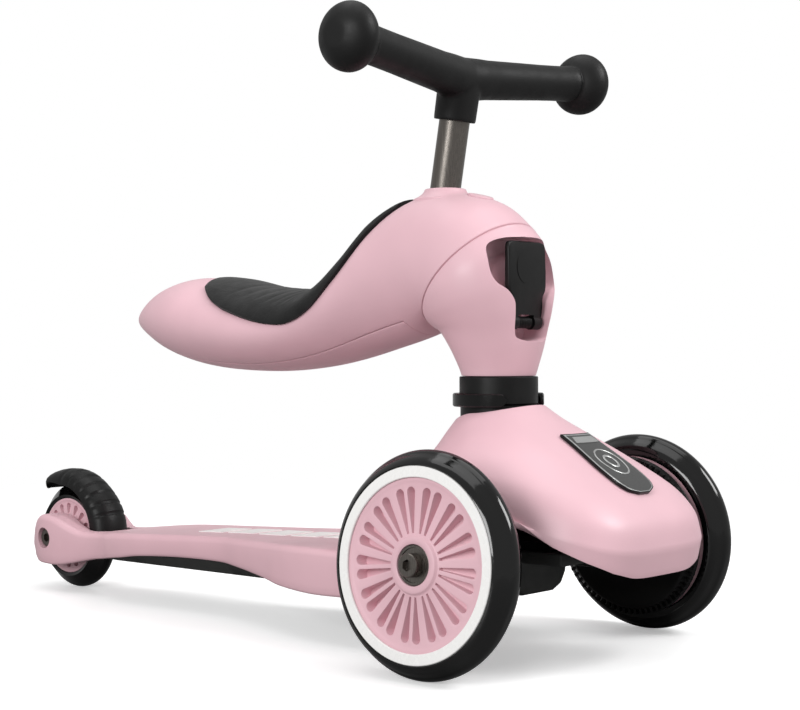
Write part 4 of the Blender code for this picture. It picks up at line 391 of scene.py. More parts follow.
def outlined(name, outline, near, far):
    """A flat outline of (x, z) points between two depths along Y."""
    rings = [[Vector((x, depth, z)) for x, z in outline] for depth in (near, far)]
    return ringed(name, rings)


def disc(name, radius, height, near, far):
    """A round plate that faces Y, its centre at a height, between two depths."""
    turns = [2 * math.pi * i / 64 for i in range(64)]
    outline = [(radius * math.cos(t), height + radius * math.sin(t)) for t in turns]
    return outlined(name, outline, near, far)


def sheeted(name, columns, rows, place, thickness):
    """A grid laid on a surface by place(across, along, lift), then thickened inwards."""
    clear_selection()
    bpy.ops.mesh.primitive_grid_add(
        x_subdivisions=columns, y_subdivisions=rows, size=2, location=(0, 0, 0)
    )
    obj = bpy.context.object
    obj.name = name
    for vertex in obj.data.vertices:
        across, along = vertex.co.x, vertex.co.y
        vertex.co = place(across, along)
    middle = obj.data.polygons[len(obj.data.polygons) // 2]
    above = place(0, 0) - place(0, 0, -MM)
    if middle.normal.dot(above) < 0:
        obj.data.flip_normals()
    modify(obj, "SOLIDIFY", thickness=thickness, offset=-1, use_even_offset=True)
    return obj


# The material slot name of each finish
SLOTS = {
    "pink": "pink_plastic", "black": "black_plastic", "grip": "black_plastic",
    "housing": "black_plastic", "gloss": "black_plastic", "tyre": "tyre",
    "white": "white_plastic", "ink": "white_plastic", "tube": "steel", "steel": "steel",
    "badge": "steel", "field": "steel", "pad": "pad_foam",
}


def finish(obj, body, look, *nodes, smooth=35, slot=None):
    """Sets shading and material, ties the piece to its body, and hides the nodes it stands for."""
    slot = slot or SLOTS[look]
    pick(obj)
    bpy.ops.object.transform_apply(location=True, rotation=True, scale=True)
    bpy.ops.object.shade_smooth_by_angle(angle=math.radians(smooth))
    obj.data.materials.clear()
    obj.data.materials.append(MATERIALS[look])
    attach(obj, body)
    if nodes:
        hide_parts(*nodes)
    return obj


# Materials

def hex_colour(code):
    """A linear colour from an sRGB hex code."""
    channels = [int(code[i:i + 2], 16) / 255 for i in (1, 3, 5)]
    linear = [c / 12.92 if c <= 0.04045 else ((c + 0.055) / 1.055) ** 2.4 for c in channels]
    return (*linear, 1)


def add_node(tree, kind, links=None, **settings):
    """Adds a node with its settings, its input values and its links."""
    node = tree.nodes.new(kind)
    for key, value in settings.items():
        if hasattr(node, key):
            setattr(node, key, value)
        else:
            node.inputs[key.replace("_", " ").title()].default_value = value
    for socket, source in (links or {}).items():
        tree.links.new(source, node.inputs[socket])
    return node


def new_finish(name, colour, roughness, metallic=0.0, specular=0.5):
    """A Principled material, and its tree, shader and object coordinates."""
    material = bpy.data.materials.new(name)
    material.use_nodes = True
    tree = material.node_tree
    shader = tree.nodes["Principled BSDF"]
    shader.inputs["Base Color"].default_value = colour
    shader.inputs["Roughness"].default_value = roughness
    shader.inputs["Metallic"].default_value = metallic
    shader.inputs["Specular IOR Level"].default_value = specular
    where = add_node(tree, "ShaderNodeTexCoord").outputs["Object"]
    return material, tree, shader, where


def grain(tree, where, size, detail=3.0):
    """Noise whose blotches are about a size in metres across."""
    return add_node(
        tree, "ShaderNodeTexNoise", {"Vector": where}, Scale=1 / size, Detail=detail
    ).outputs["Fac"]


def ramp(tree, source, low, high, start=0.3, end=0.7):
    """Maps noise onto a range of values."""
    return add_node(
        tree, "ShaderNodeMapRange", {"Value": source}, From_Min=start, From_Max=end,
        To_Min=low, To_Max=high,
    ).outputs["Result"]


def tint(tree, source, dark, light):
    """Mixes two colours by a value."""
    mix = add_node(tree, "ShaderNodeMix", data_type="RGBA")
    tree.links.new(source, mix.inputs["Factor"])
    mix.inputs[6].default_value = dark
    mix.inputs[7].default_value = light
    return mix.outputs[2]


def relief(tree, shader, height, distance):
    """Bump from a height, whose full depth is a distance in metres."""
    bump = add_node(tree, "ShaderNodeBump", {"Height": height}, Distance=distance)
    tree.links.new(bump.outputs["Normal"], shader.inputs["Normal"])


def roughen(tree, shader, noise, low, high):
    tree.links.new(ramp(tree, noise, low, high), shader.inputs["Roughness"])


def mottle(tree, shader, noise, dark, light):
    tree.links.new(tint(tree, noise, dark, light), shader.inputs["Base Color"])


def shade(colour, factor):
    return (*[channel * factor for channel in colour[:3]], 1)


def satin_abs(name, colour):
    """ABS moulded on a fine spark-eroded texture: satin, with a faint sheen and cloudiness."""
    material, tree, shader, where = new_finish(name, colour, 0.42, specular=0.42)
    cloud = ramp(tree, grain(tree, where, 45 * MM, 2.0), 0, 1)
    mottle(tree, shader, cloud, shade(colour, 0.965), shade(colour, 1.03))
    fine = grain(tree, where, 0.9 * MM, 4.0)    # 0.1 mm in the real moulding, too fine to show
    roughen(tree, shader, grain(tree, where, 14 * MM), 0.36, 0.47)
    relief(tree, shader, fine, 0.035 * MM)
    shader.inputs["Sheen Weight"].default_value = 0.04
    return material


def black_nylon(name, colour, roughness=0.42):
    """Glass-filled nylon: near black, satin, a little uneven where it cooled."""
    material, tree, shader, where = new_finish(name, colour, roughness, specular=0.27)
    roughen(tree, shader, grain(tree, where, 9 * MM), roughness - 0.07, roughness + 0.08)
    relief(tree, shader, grain(tree, where, 0.8 * MM, 4.0), 0.04 * MM)
    return material


def cast_polyurethane(name, colour):
    """Cast PU tyre: deep glossy black with long faint flow marks."""
    material, tree, shader, where = new_finish(name, colour, 0.09, specular=0.5)
    roughen(tree, shader, grain(tree, where, 6 * MM), 0.06, 0.15)
    relief(tree, shader, grain(tree, where, 5 * MM, 1.0), 0.05 * MM)
    return material


def gloss_pp(name, colour):
    """Glossy polypropylene trim, white and smooth with faint handling marks."""
    material, tree, shader, where = new_finish(name, colour, 0.25, specular=0.45)
    roughen(tree, shader, grain(tree, where, 4 * MM), 0.2, 0.34)
    mottle(tree, shader, grain(tree, where, 20 * MM), shade(colour, 0.97), colour)
    return material


def printed_ink(name, colour):
    """White printing ink: flat and matt, a touch thinner in patches."""
    material, tree, shader, where = new_finish(name, colour, 0.7, specular=0.2)
    mottle(tree, shader, grain(tree, where, 12 * MM), shade(colour, 0.95), colour)
    return material


def brushed_steel(name, colour, axis=None):
    """Steel brushed along the tube: fine streaks that lie along its axis."""
    material, tree, shader, where = new_finish(name, colour, 0.3, metallic=1.0)
    turn = (0.0, 0.0, 0.0)
    if axis is not None:
        turn = axis.to_track_quat("Z", "Y").inverted().to_euler()
    mapping = add_node(
        tree, "ShaderNodeMapping", {"Vector": where}, vector_type="POINT", Rotation=turn,
        Scale=(1.0, 1.0, 0.02),
    )
    streaks = grain(tree, mapping.outputs["Vector"], 0.7 * MM, 5.0)
    roughen(tree, shader, streaks, 0.22, 0.42)
    mottle(tree, shader, streaks, shade(colour, 0.78), shade(colour, 1.1))
    relief(tree, shader, streaks, 0.02 * MM)
    return material


def eva_foam(name, colour):
    """Moulded EVA foam pad: matt, with a skin of fine pits."""
    material, tree, shader, where = new_finish(name, colour, 0.72, specular=0.3)
    pits = add_node(
        tree, "ShaderNodeTexVoronoi", {"Vector": where}, Scale=1 / (1.5 * MM), feature="F1"
    ).outputs["Distance"]
    roughen(tree, shader, grain(tree, where, 8 * MM), 0.62, 0.82)
    mottle(tree, shader, grain(tree, where, 30 * MM), shade(colour, 0.85), shade(colour, 1.25))
    relief(tree, shader, pits, 0.12 * MM)
    shader.inputs["Sheen Weight"].default_value = 0.1
    return material


def cast_zinc(name, colour):
    """Satin chromed zinc of the badge's field."""
    material, tree, shader, where = new_finish(name, colour, 0.32, metallic=0.75)
    roughen(tree, shader, grain(tree, where, 1.2 * MM), 0.28, 0.4)
    mottle(tree, shader, grain(tree, where, 12 * MM), shade(colour, 0.9), colour)
    return material


MATERIALS = {}


def make_materials(colours):
    MATERIALS.update(
        pink=satin_abs("pink satin ABS", colours.body),
        black=black_nylon("black glass-filled nylon", colours.fittings),
        grip=black_nylon("black moulded grip", colours.grip, 0.5),
        # housing: black nylon whose colour is lightened to paint in fill light, since the axle
        # plate and belly pan sit in deep shade
        housing=black_nylon("black nylon lightened as painted fill light", colours.housing, 0.5),
        gloss=black_nylon("polished black ABS", colours.fittings, 0.16),
        tyre=cast_polyurethane("black cast polyurethane", colours.tyre),
        white=gloss_pp("white polypropylene", colours.trim),
        ink=printed_ink("white printing ink", colours.trim),
        tube=brushed_steel("brushed steel tube", colours.steel, BAR_AXIS),
        steel=brushed_steel("zinc-plated steel", colours.steel),
        pad=eva_foam("black EVA foam", colours.pad),
        badge=cast_zinc("satin chromed zinc", colours.badge),
        field=cast_zinc("dark anodised field", shade(colours.badge, 0.22)),
    )


# Wheels

def slot_tools(name, sizes, count, pair_spread, phase, top, floor_in, floor_out):
    """Tapered slots about Z, single or in pairs, round at the rim, in both faces of a wheel.

    The sizes are the inner and outer radius, then the width at each. The floors are the
    slot's half distances from the wheel's middle, at each end.
    """
    start, end, inner_width, outer_width = sizes
    radius = outer_width / 2
    outline = [(start, -inner_width / 2)]
    for degrees in range(-90, 91, 15):
        turn = math.radians(degrees)
        outline.append((end - radius + radius * math.cos(turn), radius * math.sin(turn)))
    outline.append((start, inner_width / 2))
    foot_reach = 0.995      # draws the slot's foot in towards the hub
    spreads = (-pair_spread / 2, pair_spread / 2) if pair_spread else (0,)
    tools = []
    for index in range(count):
        for offset in spreads:
            for face in (1, -1):
                foot, mouth = [], []
                for along, aside in outline:
                    share = (along - start) / (end - start)
                    floor = floor_in + (floor_out - floor_in) * share
                    foot.append(Vector((along * foot_reach, aside, floor * face)))
                    mouth.append(Vector((along, aside, top * face)))
                tool = ringed(name, [foot, mouth])
                angle = phase + index * 2 * math.pi / count + offset
                tool.data.transform(Matrix.Rotation(angle, 4, "Z"))
                tools.append(tool)
    return close_up(join(tools))


def ball_bearing(name, centre, axis):
    """A shielded ball bearing, 22 by 7 mm: two races and a recessed shield."""
    side = in_mm([
        (11.0, 3.3), (10.7, 3.5), (9.5, 3.5), (9.3, 2.9), (6.5, 2.9), (6.3, 3.5), (4.3, 3.5),
        (4.0, 3.3),
    ])
    return spun(name, side + far_side(side), centre, axis, 72)


def axle_bolt(name, length, location, axis):
    """Cap-head bolt with a hexagon socket."""
    head, height, shank, socket = 6.5 * MM, 5 * MM, 3.7 * MM, 3.4 * MM
    profile = [
        (0, height), (head - 0.5 * MM, height), (head, height - 0.5 * MM), (head, 0),
        (shank, 0), (shank, -length), (0, -length),
    ]
    bolt = spun(name, profile, sides=64)
    hexagon = rod(
        name + "_socket", socket, Vector((0, 0, height - 3 * MM)), Vector((0, 0, height + MM)),
        sides=6,
    )
    carve(bolt, hexagon)
    return settle(bolt, location, axis)


def front_axle(side):
    """Centre of a front wheel, and its axis outwards."""
    centre = Vector((side * HALF_TRACK, FRONT_AXLE_Y, FRONT_RADIUS * math.cos(CAMBER)))
    return centre, Vector((side * math.cos(CAMBER), 0, math.sin(CAMBER)))


def crown_arc(radius, half_angle, count):
    """The round crown of a tyre, from its outer side to its inner side."""
    crown = 6 * MM
    turns = [math.radians(degrees) for degrees in spread(half_angle, -half_angle, count)]
    return [(radius - crown + crown * math.cos(t), crown * math.sin(t)) for t in turns]


def front_wheel(sizes, side, label):
    centre, axis = front_axle(side)
    body = f"front_wheel_{label}"
    flank = in_mm([(53.75, 11.2), (54.1, 11.5), (54.9, 11.2), (56.6, 10.1), (58.6, 8.0)])
    inner = in_mm([(50.3, -11.2), (50.3, 9.9), (53.75, 9.9)])
    outer = flank + crown_arc(sizes.front_radius, 54, 21) + far_side(flank)
    tyre = spun(f"tyre_{label}", outer + inner, centre, axis, 160)
    finish(tyre, body, "tyre", f"front_tyre_{label}")

    profile = in_mm([
        (47.2, 10.2), (47.2, 11.1), (47.55, 11.5), (53.0, 11.5), (53.4, 11.1), (53.4, 10.2),
    ])
    ring = spun(f"rim_ring_{label}", profile, centre, axis, 160)
    finish(ring, body, "white", f"front_rim_ring_{label}")

    web = sizes.front_web / 2
    face = [
        (50.0 * MM, 9.6 * MM), (49.7 * MM, 9.9 * MM), (46.6 * MM, 9.9 * MM),
        (45.6 * MM, 9.9 * MM), (44.9 * MM, 9.6 * MM), (43.6 * MM, web), (16.6 * MM, web),
        (16.0 * MM, web + 0.3 * MM), (15.4 * MM, 10.9 * MM), (14.9 * MM, 11.2 * MM),
        (11.7 * MM, 11.2 * MM), (11.3 * MM, 10.9 * MM),
    ]
    core = spun(f"wheel_core_{label}", face + far_side(face), sides=104)
    slots = slot_tools(
        f"slots_{label}", (17.2 * MM, 42.3 * MM, 1.3 * MM, 5.6 * MM), count=13,
        pair_spread=math.radians(11.6), phase=math.radians(-7.8), top=web + 2 * MM,
        floor_in=6.4 * MM, floor_out=1.4 * MM,
    )
    carve(core, slots)
    soften(core, 0.4 * MM, 40, 2)
    settle(core, centre, axis)
    finish(core, body, "pink", f"front_wheel_core_{label}", smooth=40)

    for place, offset in (("outer", 7 * MM), ("inner", -7 * MM)):
        bearing = ball_bearing(f"bearing_{place}_{label}", centre + axis * offset, axis)
        finish(bearing, body, "steel", f"front_bearing_{place}_{label}", smooth=30)
    bolt = axle_bolt(f"axle_bolt_{label}", 35.3 * MM, centre + axis * 10.8 * MM, axis)
    finish(bolt, f"knuckle_{label}", "steel", f"front_axle_bolt_{label}", smooth=30)


def rear_wheel(sizes):
    axis = Vector((-1, 0, 0))
    half = 12 * MM
    shoulder = sizes.rear_radius - 9.6 * MM
    flank = [(shoulder, half - 0.3 * MM), (shoulder + 0.5 * MM, half)]
    inner = [(28.4 * MM, -half + MM), (28.4 * MM, half - MM)]
    outer = flank + crown_arc(sizes.rear_radius, 50, 17) + far_side(flank)
    tyre = spun("tyre_rear", outer + inner, REAR_AXLE, axis, 128)
    finish(tyre, "rear_wheel", "tyre", "rear_tyre")

    face = in_mm([
        (28.0, 10.7), (27.7, 11.0), (26.4, 11.0), (25.8, 10.6), (24.6, 10.4), (15.4, 10.8),
        (14.9, 11.2), (11.7, 11.2), (11.3, 10.9),
    ])
    core = spun("wheel_core_rear", face + far_side(face), sides=96)
    slots = slot_tools(
        "slots_rear", (16.6 * MM, 24.6 * MM, 1.6 * MM, 4.6 * MM), count=16, pair_spread=0,
        phase=0, top=13 * MM, floor_in=8 * MM, floor_out=3 * MM,
    )
    carve(core, slots)
    soften(core, 0.35 * MM, 40, 2)
    settle(core, REAR_AXLE, axis)
    finish(core, "rear_wheel", "pink", "rear_wheel_core", smooth=40)

    for label, offset in (("right", 7 * MM), ("left", -7 * MM)):
        bearing = ball_bearing(f"bearing_rear_{label}", REAR_AXLE + axis * offset, axis)
        finish(bearing, "rear_wheel", "steel", f"rear_bearing_{label}", smooth=30)
    bolt = axle_bolt("axle_bolt_rear", 58.4 * MM, REAR_AXLE + axis * (26.1 * MM + GAP), axis)
    finish(bolt, "frame", "steel", "rear_axle_bolt", smooth=30)


# Steering

def knuckle(side, label):
    """Round guard with a toothed rim, the kingpin barrel, the link and the tie rod's arm."""
    centre, axis = front_axle(side)
    face = -18.5 * MM
    back = face - 3 * MM
    profile = [
        (0, -10.8 * MM), (6.2 * MM, -10.8 * MM), (6.5 * MM, -11.1 * MM), (8 * MM, face),
        (41.8 * MM, face), (43.2 * MM, face + 0.4 * MM), (48.6 * MM, face + 3.8 * MM),
        (49.8 * MM, face + 3.9 * MM), (50.4 * MM, face + 3.1 * MM), (50.3 * MM, face + 2.4 * MM),
        (45.2 * MM, back + 0.4 * MM), (43.6 * MM, back), (15 * MM, back - 0.5 * MM),
        (13.4 * MM, back - 5.4 * MM), (12.6 * MM, back - 6 * MM), (0, back - 6 * MM),
    ]
    guard = spun(f"guard_{label}", profile, sides=128)
    teeth = []
    for index in range(72):
        tooth = block(
            "tooth", (46.2 * MM, -0.9 * MM, back + 0.9 * MM), (49.6 * MM, 0.9 * MM, face + 2.4 * MM)
        )
        tooth.data.transform(Matrix.Rotation(2 * math.pi * index / 72, 4, "Z"))
        teeth.append(tooth)
    fuse(guard, join(teeth))
    settle(guard, centre, axis)
    y = FRONT_AXLE_Y
    pin = Vector((side * KINGPIN_X, y, 0))
    pin_x = pin.x
    barrel = rod(f"barrel_{label}", 8 * MM, pin + Z_AXIS * 50 * MM, pin + Z_AXIS * 77 * MM)
    soften(barrel, 0.8 * MM)
    guard_x = side * (HALF_TRACK - 23.5 * MM)
    link = block(
        f"link_{label}", (min(pin_x, guard_x), y - 7 * MM, 59 * MM),
        (max(pin_x, guard_x), y + 7 * MM, 75 * MM),
    )
    soften(link, 1.6 * MM, segments=3)
    arm = block(
        f"arm_{label}", (pin_x - 4.5 * MM, y + 5 * MM, 51.5 * MM),
        (pin_x + 4.5 * MM, y + 26 * MM, 57.5 * MM),
    )
    soften(arm, 0.9 * MM)
    eye_at = Vector((pin_x, y + 26 * MM, 51 * MM))
    eye = rod(f"arm_eye_{label}", 6 * MM, eye_at, eye_at + Z_AXIS * 7 * MM)
    soften(eye, 0.5 * MM)
    fuse(guard, barrel, link, arm, eye)
    pin_hole = rod("pin_hole", KINGPIN_HOLE, pin + Z_AXIS * 30 * MM, pin + Z_AXIS * 100 * MM)
    bolt_hole = rod("bolt_hole", 4 * MM, centre - axis * 8 * MM, centre - axis * 25 * MM)
    eye_hole = rod("eye_hole", 2.8 * MM, eye_at - Z_AXIS * MM, eye_at + Z_AXIS * 8 * MM)
    carve(guard, pin_hole, bolt_hole, eye_hole)
    finish(guard, f"knuckle_{label}", "gloss", f"steering_knuckle_{label}")


def axle_beam():
    """Plate between the kingpins, with cheeks, ears and the block that shows below the cowl."""
    y = FRONT_AXLE_Y
    top = 66 * MM
    plate = block("beam_plate", (-48 * MM, y - 47 * MM, 58.5 * MM), (48 * MM, y + 16 * MM, top))
    soften(plate, 1.5 * MM, segments=3)
    right = in_mm([(15, 34.5), (23, 38), (27.5, 45), (30, 58), (30, 65)])
    keel = ringed("beam_keel", [across_ring(y + 3 * MM, right), across_ring(y + 16 * MM, right)])
    soften(keel, 2.2 * MM, 25, 4)
    parts = [keel]
    for side in (-1, 1):
        near, far = sorted((side * 46 * MM, side * 55 * MM))
        cheek = block("beam_cheek", (near, y - 11 * MM, 45.7 * MM), (far, y + 11 * MM, 81.3 * MM))
        parts.append(soften(cheek, 1.2 * MM, segments=3))
        pin_x = side * KINGPIN_X
        for bottom in (45.1 * MM, 77.3 * MM):
            foot = Vector((pin_x, y, bottom))
            ear = rod("beam_ear", 8 * MM, foot, foot + Z_AXIS * 4.6 * MM)
            parts.append(soften(ear, 0.5 * MM))
            near, far = sorted((side * 53 * MM, pin_x))
            web = block(
                "beam_web", (near, y - 7.2 * MM, bottom + 0.3 * MM),
                (far, y + 7.2 * MM, bottom + 4.3 * MM),
            )
            parts.append(soften(web, 0.4 * MM))
    foot = block("beam_foot", (-25 * MM, y + 14 * MM, 46.3 * MM), (25 * MM, y + 46 * MM, 50 * MM))
    parts.append(soften(foot, 0.5 * MM))
    fuse(plate, *parts)
    holes = []
    for side in (-1, 1):
        pin = Vector((side * KINGPIN_X, y, 0))
        holes.append(rod("pin_hole", KINGPIN_HOLE, pin + Z_AXIS * 30 * MM, pin + Z_AXIS * 100 * MM))
    pocket = block(
        "spring_pocket", (-24 * MM, y + 5.4 * MM, 50 * MM), (24 * MM, y + 13.6 * MM, 71 * MM)
    )
    carve(plate, pocket, *holes)
    finish(plate, "frame", "housing", "axle_beam")


# Deck, cover, fender

def deck_rows():
    rows = [(FRONT_AXLE_Y + y * MM, w * MM, t * MM, l * MM) for y, w, t, l in DECK_FRONT_SECTIONS]
    rows += [(REAR_AXLE_Y - y * MM, w * MM, t * MM, l * MM) for y, w, t, l in DECK_REAR_SECTIONS]
    return rows


def deck_top(rows, y):
    """Height of the deck's top at y, found between the stations its rings are built from."""
    low, high = 0.0, len(rows) - 1.0
    for _ in range(30):
        middle = (low + high) / 2
        if blend_rows(rows, middle)[0] < y:
            low = middle
        else:
            high = middle
    return blend_rows(rows, low)[2]


def deck_ring(y, half, top, low):
    """Flat above, with a round edge, flanks drawn in below and a small lower radius."""
    edge = 4.5 * MM
    right = [(0.35 * half, top), (0.7 * half, top), (half - 1.6 * edge, top)]
    for degrees in (90, 75, 60, 45, 30, 15, 0):
        turn = math.radians(degrees)
        right.append((half - edge + edge * math.cos(turn), top - edge + edge * math.sin(turn)))
    for share in (0.3, 0.55, 0.8):
        z = top - edge + (low + 1.6 * MM - top + edge) * share
        right.append((half - 1.2 * MM * share ** 2, z))
    right += [(half - 1.2 * MM, low + 1.6 * MM), (half - 1.7 * MM, low + 0.6 * MM),
              (half - 2.6 * MM, low), (0.6 * half, low)]
    return across_ring(y, right)


def deck():
    """Board with a rear fork, hollow below ahead of the rear wheel."""
    rows = deck_rows()
    rings = []
    for index in range(len(rows) - 1):
        for share in (0, 0.25, 0.5, 0.75):
            rings.append(deck_ring(*blend_rows(rows, index + share)))
    rings.append(deck_ring(*rows[-1]))
    board = ringed("deck_board", rings)
    hollow_end = REAR_AXLE_Y - 63.6 * MM
    inside = []
    wall = 3.2 * MM
    for step in range(2 * len(rows)):
        y, half, top, _ = blend_rows(rows, step / 2)
        if inside and y > hollow_end:
            break
        y = max(y, rows[0][0] + wall)
        half -= wall
        top -= wall
        inside.append([
            Vector((half, y, top - 4 * MM)), Vector((half, y, 8 * MM)),
            Vector((-half, y, 8 * MM)), Vector((-half, y, top - 4 * MM)),
            Vector((-half + 4 * MM, y, top)), Vector((half - 4 * MM, y, top)),
        ])
    hollow = ringed("deck_hollow", inside)
    slot_front = REAR_AXLE_Y - 44.2 * MM
    slot = block("wheel_slot", (-16 * MM, slot_front, 0), (16 * MM, REAR_AXLE_Y + 60 * MM, 0.1))
    hinge = block(
        "hinge_slot", (-15.4 * MM, REAR_AXLE_Y - 55.8 * MM, 36.7 * MM),
        (15.4 * MM, slot_front + MM, 0.1),
    )
    carve(board, hollow, slot, hinge)
    soften(board, 0.7 * MM, 50, 2)
    axle = REAR_AXLE
    for out in (-X_AXIS, X_AXIS):
        fuse(board, rod("spacer", 6.5 * MM, axle + out * 10.8 * MM, axle + out * 17 * MM))
    carve(board, crossbar("axle_hole", 4 * MM, axle, 40 * MM))
    for out in (-X_AXIS, X_AXIS):
        carve(board, rod("well", WELL_RADIUS, axle + out * 26.1 * MM, axle + out * 40 * MM))
    tongue = block(
        "deck_tongue", (-26 * MM, FRONT_AXLE_Y + 16.3 * MM, 40 * MM),
        (26 * MM, FRONT_AXLE_Y + 64.5 * MM, 46 * MM),
    )
    pedestal = block(
        "deck_pedestal", (-30 * MM, FRONT_AXLE_Y + 62.5 * MM, 50 * MM),
        (30 * MM, FRONT_AXLE_Y + 80 * MM, 66 * MM),
    )
    fuse(board, soften(tongue, 0.8 * MM), soften(pedestal, 0.8 * MM))
    finish(board, "frame", "pink", "deck", smooth=30)
    stripes()


def stripes():
    """Plain white bars printed on the deck's top."""
    rows = deck_rows()
    start, length, gap, half = 142 * MM, 24 * MM, 6 * MM, 14 * MM
    for index in range(5):
        near = FRONT_AXLE_Y + start + index * (length + gap)

        def place(across, along, lift=0.0, near=near):
            y = near + length * (along + 1) / 2
            return Vector((across * half, y, deck_top(rows, y) + 0.5 * MM + lift))

        bar = sheeted(f"deck_stripe_{index + 1}", 4, 16, place, 1.2 * MM)
        finish(bar, "frame", "ink")


def cover():
    """Shallow tray under the deck."""
    rows = deck_rows()
    widths = [(row[0], row[1]) for row in rows]
    lower_edges = [(row[0], row[3]) for row in rows]
    floor = 29 * MM
    rings = []
    for y in spread(FRONT_AXLE_Y + 65.5 * MM, REAR_AXLE_Y - 63.9 * MM, 34):
        side = read_at(widths, y) - 3.5 * MM
        low = read_at(lower_edges, y)
        floor_half = min(30 * MM, side - 4 * MM)
        rings.append(across_ring(y, [
            (side, low + 4 * MM), (side, low + 0.6 * MM), (side - 0.6 * MM, low),
            (floor_half + 1.2 * MM, floor + 0.2 * MM), (floor_half, floor),
            (0.5 * floor_half, floor),
        ]))
    tray = ringed("belly_pan", rings)
    soften(tray, 0.6 * MM, 40)
    finish(tray, "frame", "housing", "underside_cover")


def fender_ring(angle, half, crown, skirt, inner):
    """Arched section across the tyre, out over its back and home underneath."""
    turn = math.radians(angle)
    outward = Vector((0, -math.cos(turn), math.sin(turn)))
    shoulder = max(crown - 10 * MM, skirt + MM)
    inner_half = half - min(2.3 * MM, 0.4 * half)
    inner_shoulder = max(min(inner - 6 * MM, shoulder), skirt + 0.4 * MM)
    right = [(half - 0.5 * MM, skirt), (half, skirt + 0.5 * MM)]
    inside = [(-inner_half, skirt + 0.1 * MM)]
    for degrees in (0, 15, 30, 45, 60, 75, 90):
        cos, sin = math.cos(math.radians(degrees)), math.sin(math.radians(degrees))
        right.append((half * cos, shoulder + (crown - shoulder) * sin))
        inside.append((-inner_half * cos, inner_shoulder + (inner - inner_shoulder) * sin))
    left = [(-x, radius) for x, radius in reversed(right[:-1])]
    back = [(-x, radius) for x, radius in reversed(inside[:-1])]
    return [
        REAR_AXLE + outward * radius + X_AXIS * x for x, radius in right + left + inside + back
    ]


def fender():
    """Foot brake over the rear wheel: ribbed across its back, with a turned-up tail."""
    first, last = FENDER_CONTOUR[0][0], FENDER_CONTOUR[-1][0]
    start, end, grooves = 16, 100, 7
    taper_start, lip = 98, 4        # degrees: where the tail narrows, and its rounded end
    clearance = 42.3 * MM           # inner radius, outside the tyre
    pitch = (end - start) / grooves
    stations = [(first, 0), (first + 0.6, 0), (first + 5, 0)]
    for index in range(grooves):
        base = start + index * pitch
        for share, depth in ((0, 0), (0.3, 0), (0.52, 0), (0.6, 0.8), (0.78, 0.8), (0.88, 0)):
            stations.append((base + share * pitch, depth * MM))
    stations += [(angle, 0) for angle in spread(end + 1, last - lip, 12)]
    stations += [(last - 2.6, 0), (last - 1.2, 0), (last - 0.3, 0), (last, 0)]
    rings = []
    for angle, groove in stations:
        crown = read_at(FENDER_CONTOUR, angle) * MM - groove
        skirt = read_at(FENDER_SKIRT, min(angle, 100)) * MM
        half = 15 * MM
        if angle > taper_start:
            share = (angle - taper_start) / (last - taper_start)
            skirt += (crown - 7 * MM - skirt) * min(1, 1.4 * share)
            half *= 0.5 + 0.5 * math.sqrt(1 - 0.97 * share ** 3)
            if angle > last - lip:
                pinch = 1 - ((angle - last + lip) / lip) ** 2
                squeeze = 0.35 + 0.65 * math.sqrt(max(pinch, 0))
                middle = (crown + skirt) / 2
                crown = middle + (crown - middle) * squeeze
                skirt = middle + (skirt - middle) * squeeze
        inner = skirt + 0.5 * MM
        if angle < last - lip:
            inner = max(clearance, inner)
        inner = min(inner, crown - 0.8 * MM)
        rings.append(fender_ring(angle, half, crown, skirt, inner))
    body = ringed("foot_brake", rings)
    pin = Vector((0, REAR_AXLE_Y - 51 * MM, 41.5 * MM))
    foot = block(
        "fender_foot", (-12.7 * MM, pin.y, pin.z - 3.3 * MM),
        (12.7 * MM, REAR_AXLE_Y - 42.9 * MM, pin.z + 3.5 * MM),
    )
    eye = crossbar("fender_eye", 4.4 * MM, pin, 13.7 * MM)
    fuse(body, foot, eye)
    hole = crossbar("eye_hole", 2.3 * MM, pin, 30 * MM)
    room = crossbar("spring_room", 5.6 * MM, pin, 6.3 * MM)
    carve(body, room, hole)
    finish(body, "brake", "black", "brake_fender", smooth=40)


# Cowl and badge

def cowl_point(row, angle):
    """Angle 0 is the nose, and positive angles go to the rider's left."""
    front, rear, half_width, squareness = row[:4]
    reach = abs(math.sin(angle)) ** squareness + abs(math.cos(angle)) ** squareness
    across = math.sin(angle) * reach ** (-1 / squareness)
    along = math.cos(angle) * reach ** (-1 / squareness)
    y = (front + rear) / 2 - (rear - front) / 2 * along
    x = half_width * across
    if len(row) == 4:
        z = read_at(COWL_RIM_HEIGHTS, y)
    else:
        z_front, z_side, z_rear = row[4:]
        z = z_side + (z_front - z_side) * max(along, 0) ** 1.5
        z += (z_rear - z_side) * max(-along, 0) ** 1.5
    return Vector((x * MM, FRONT_AXLE_Y + y * MM, z * MM))


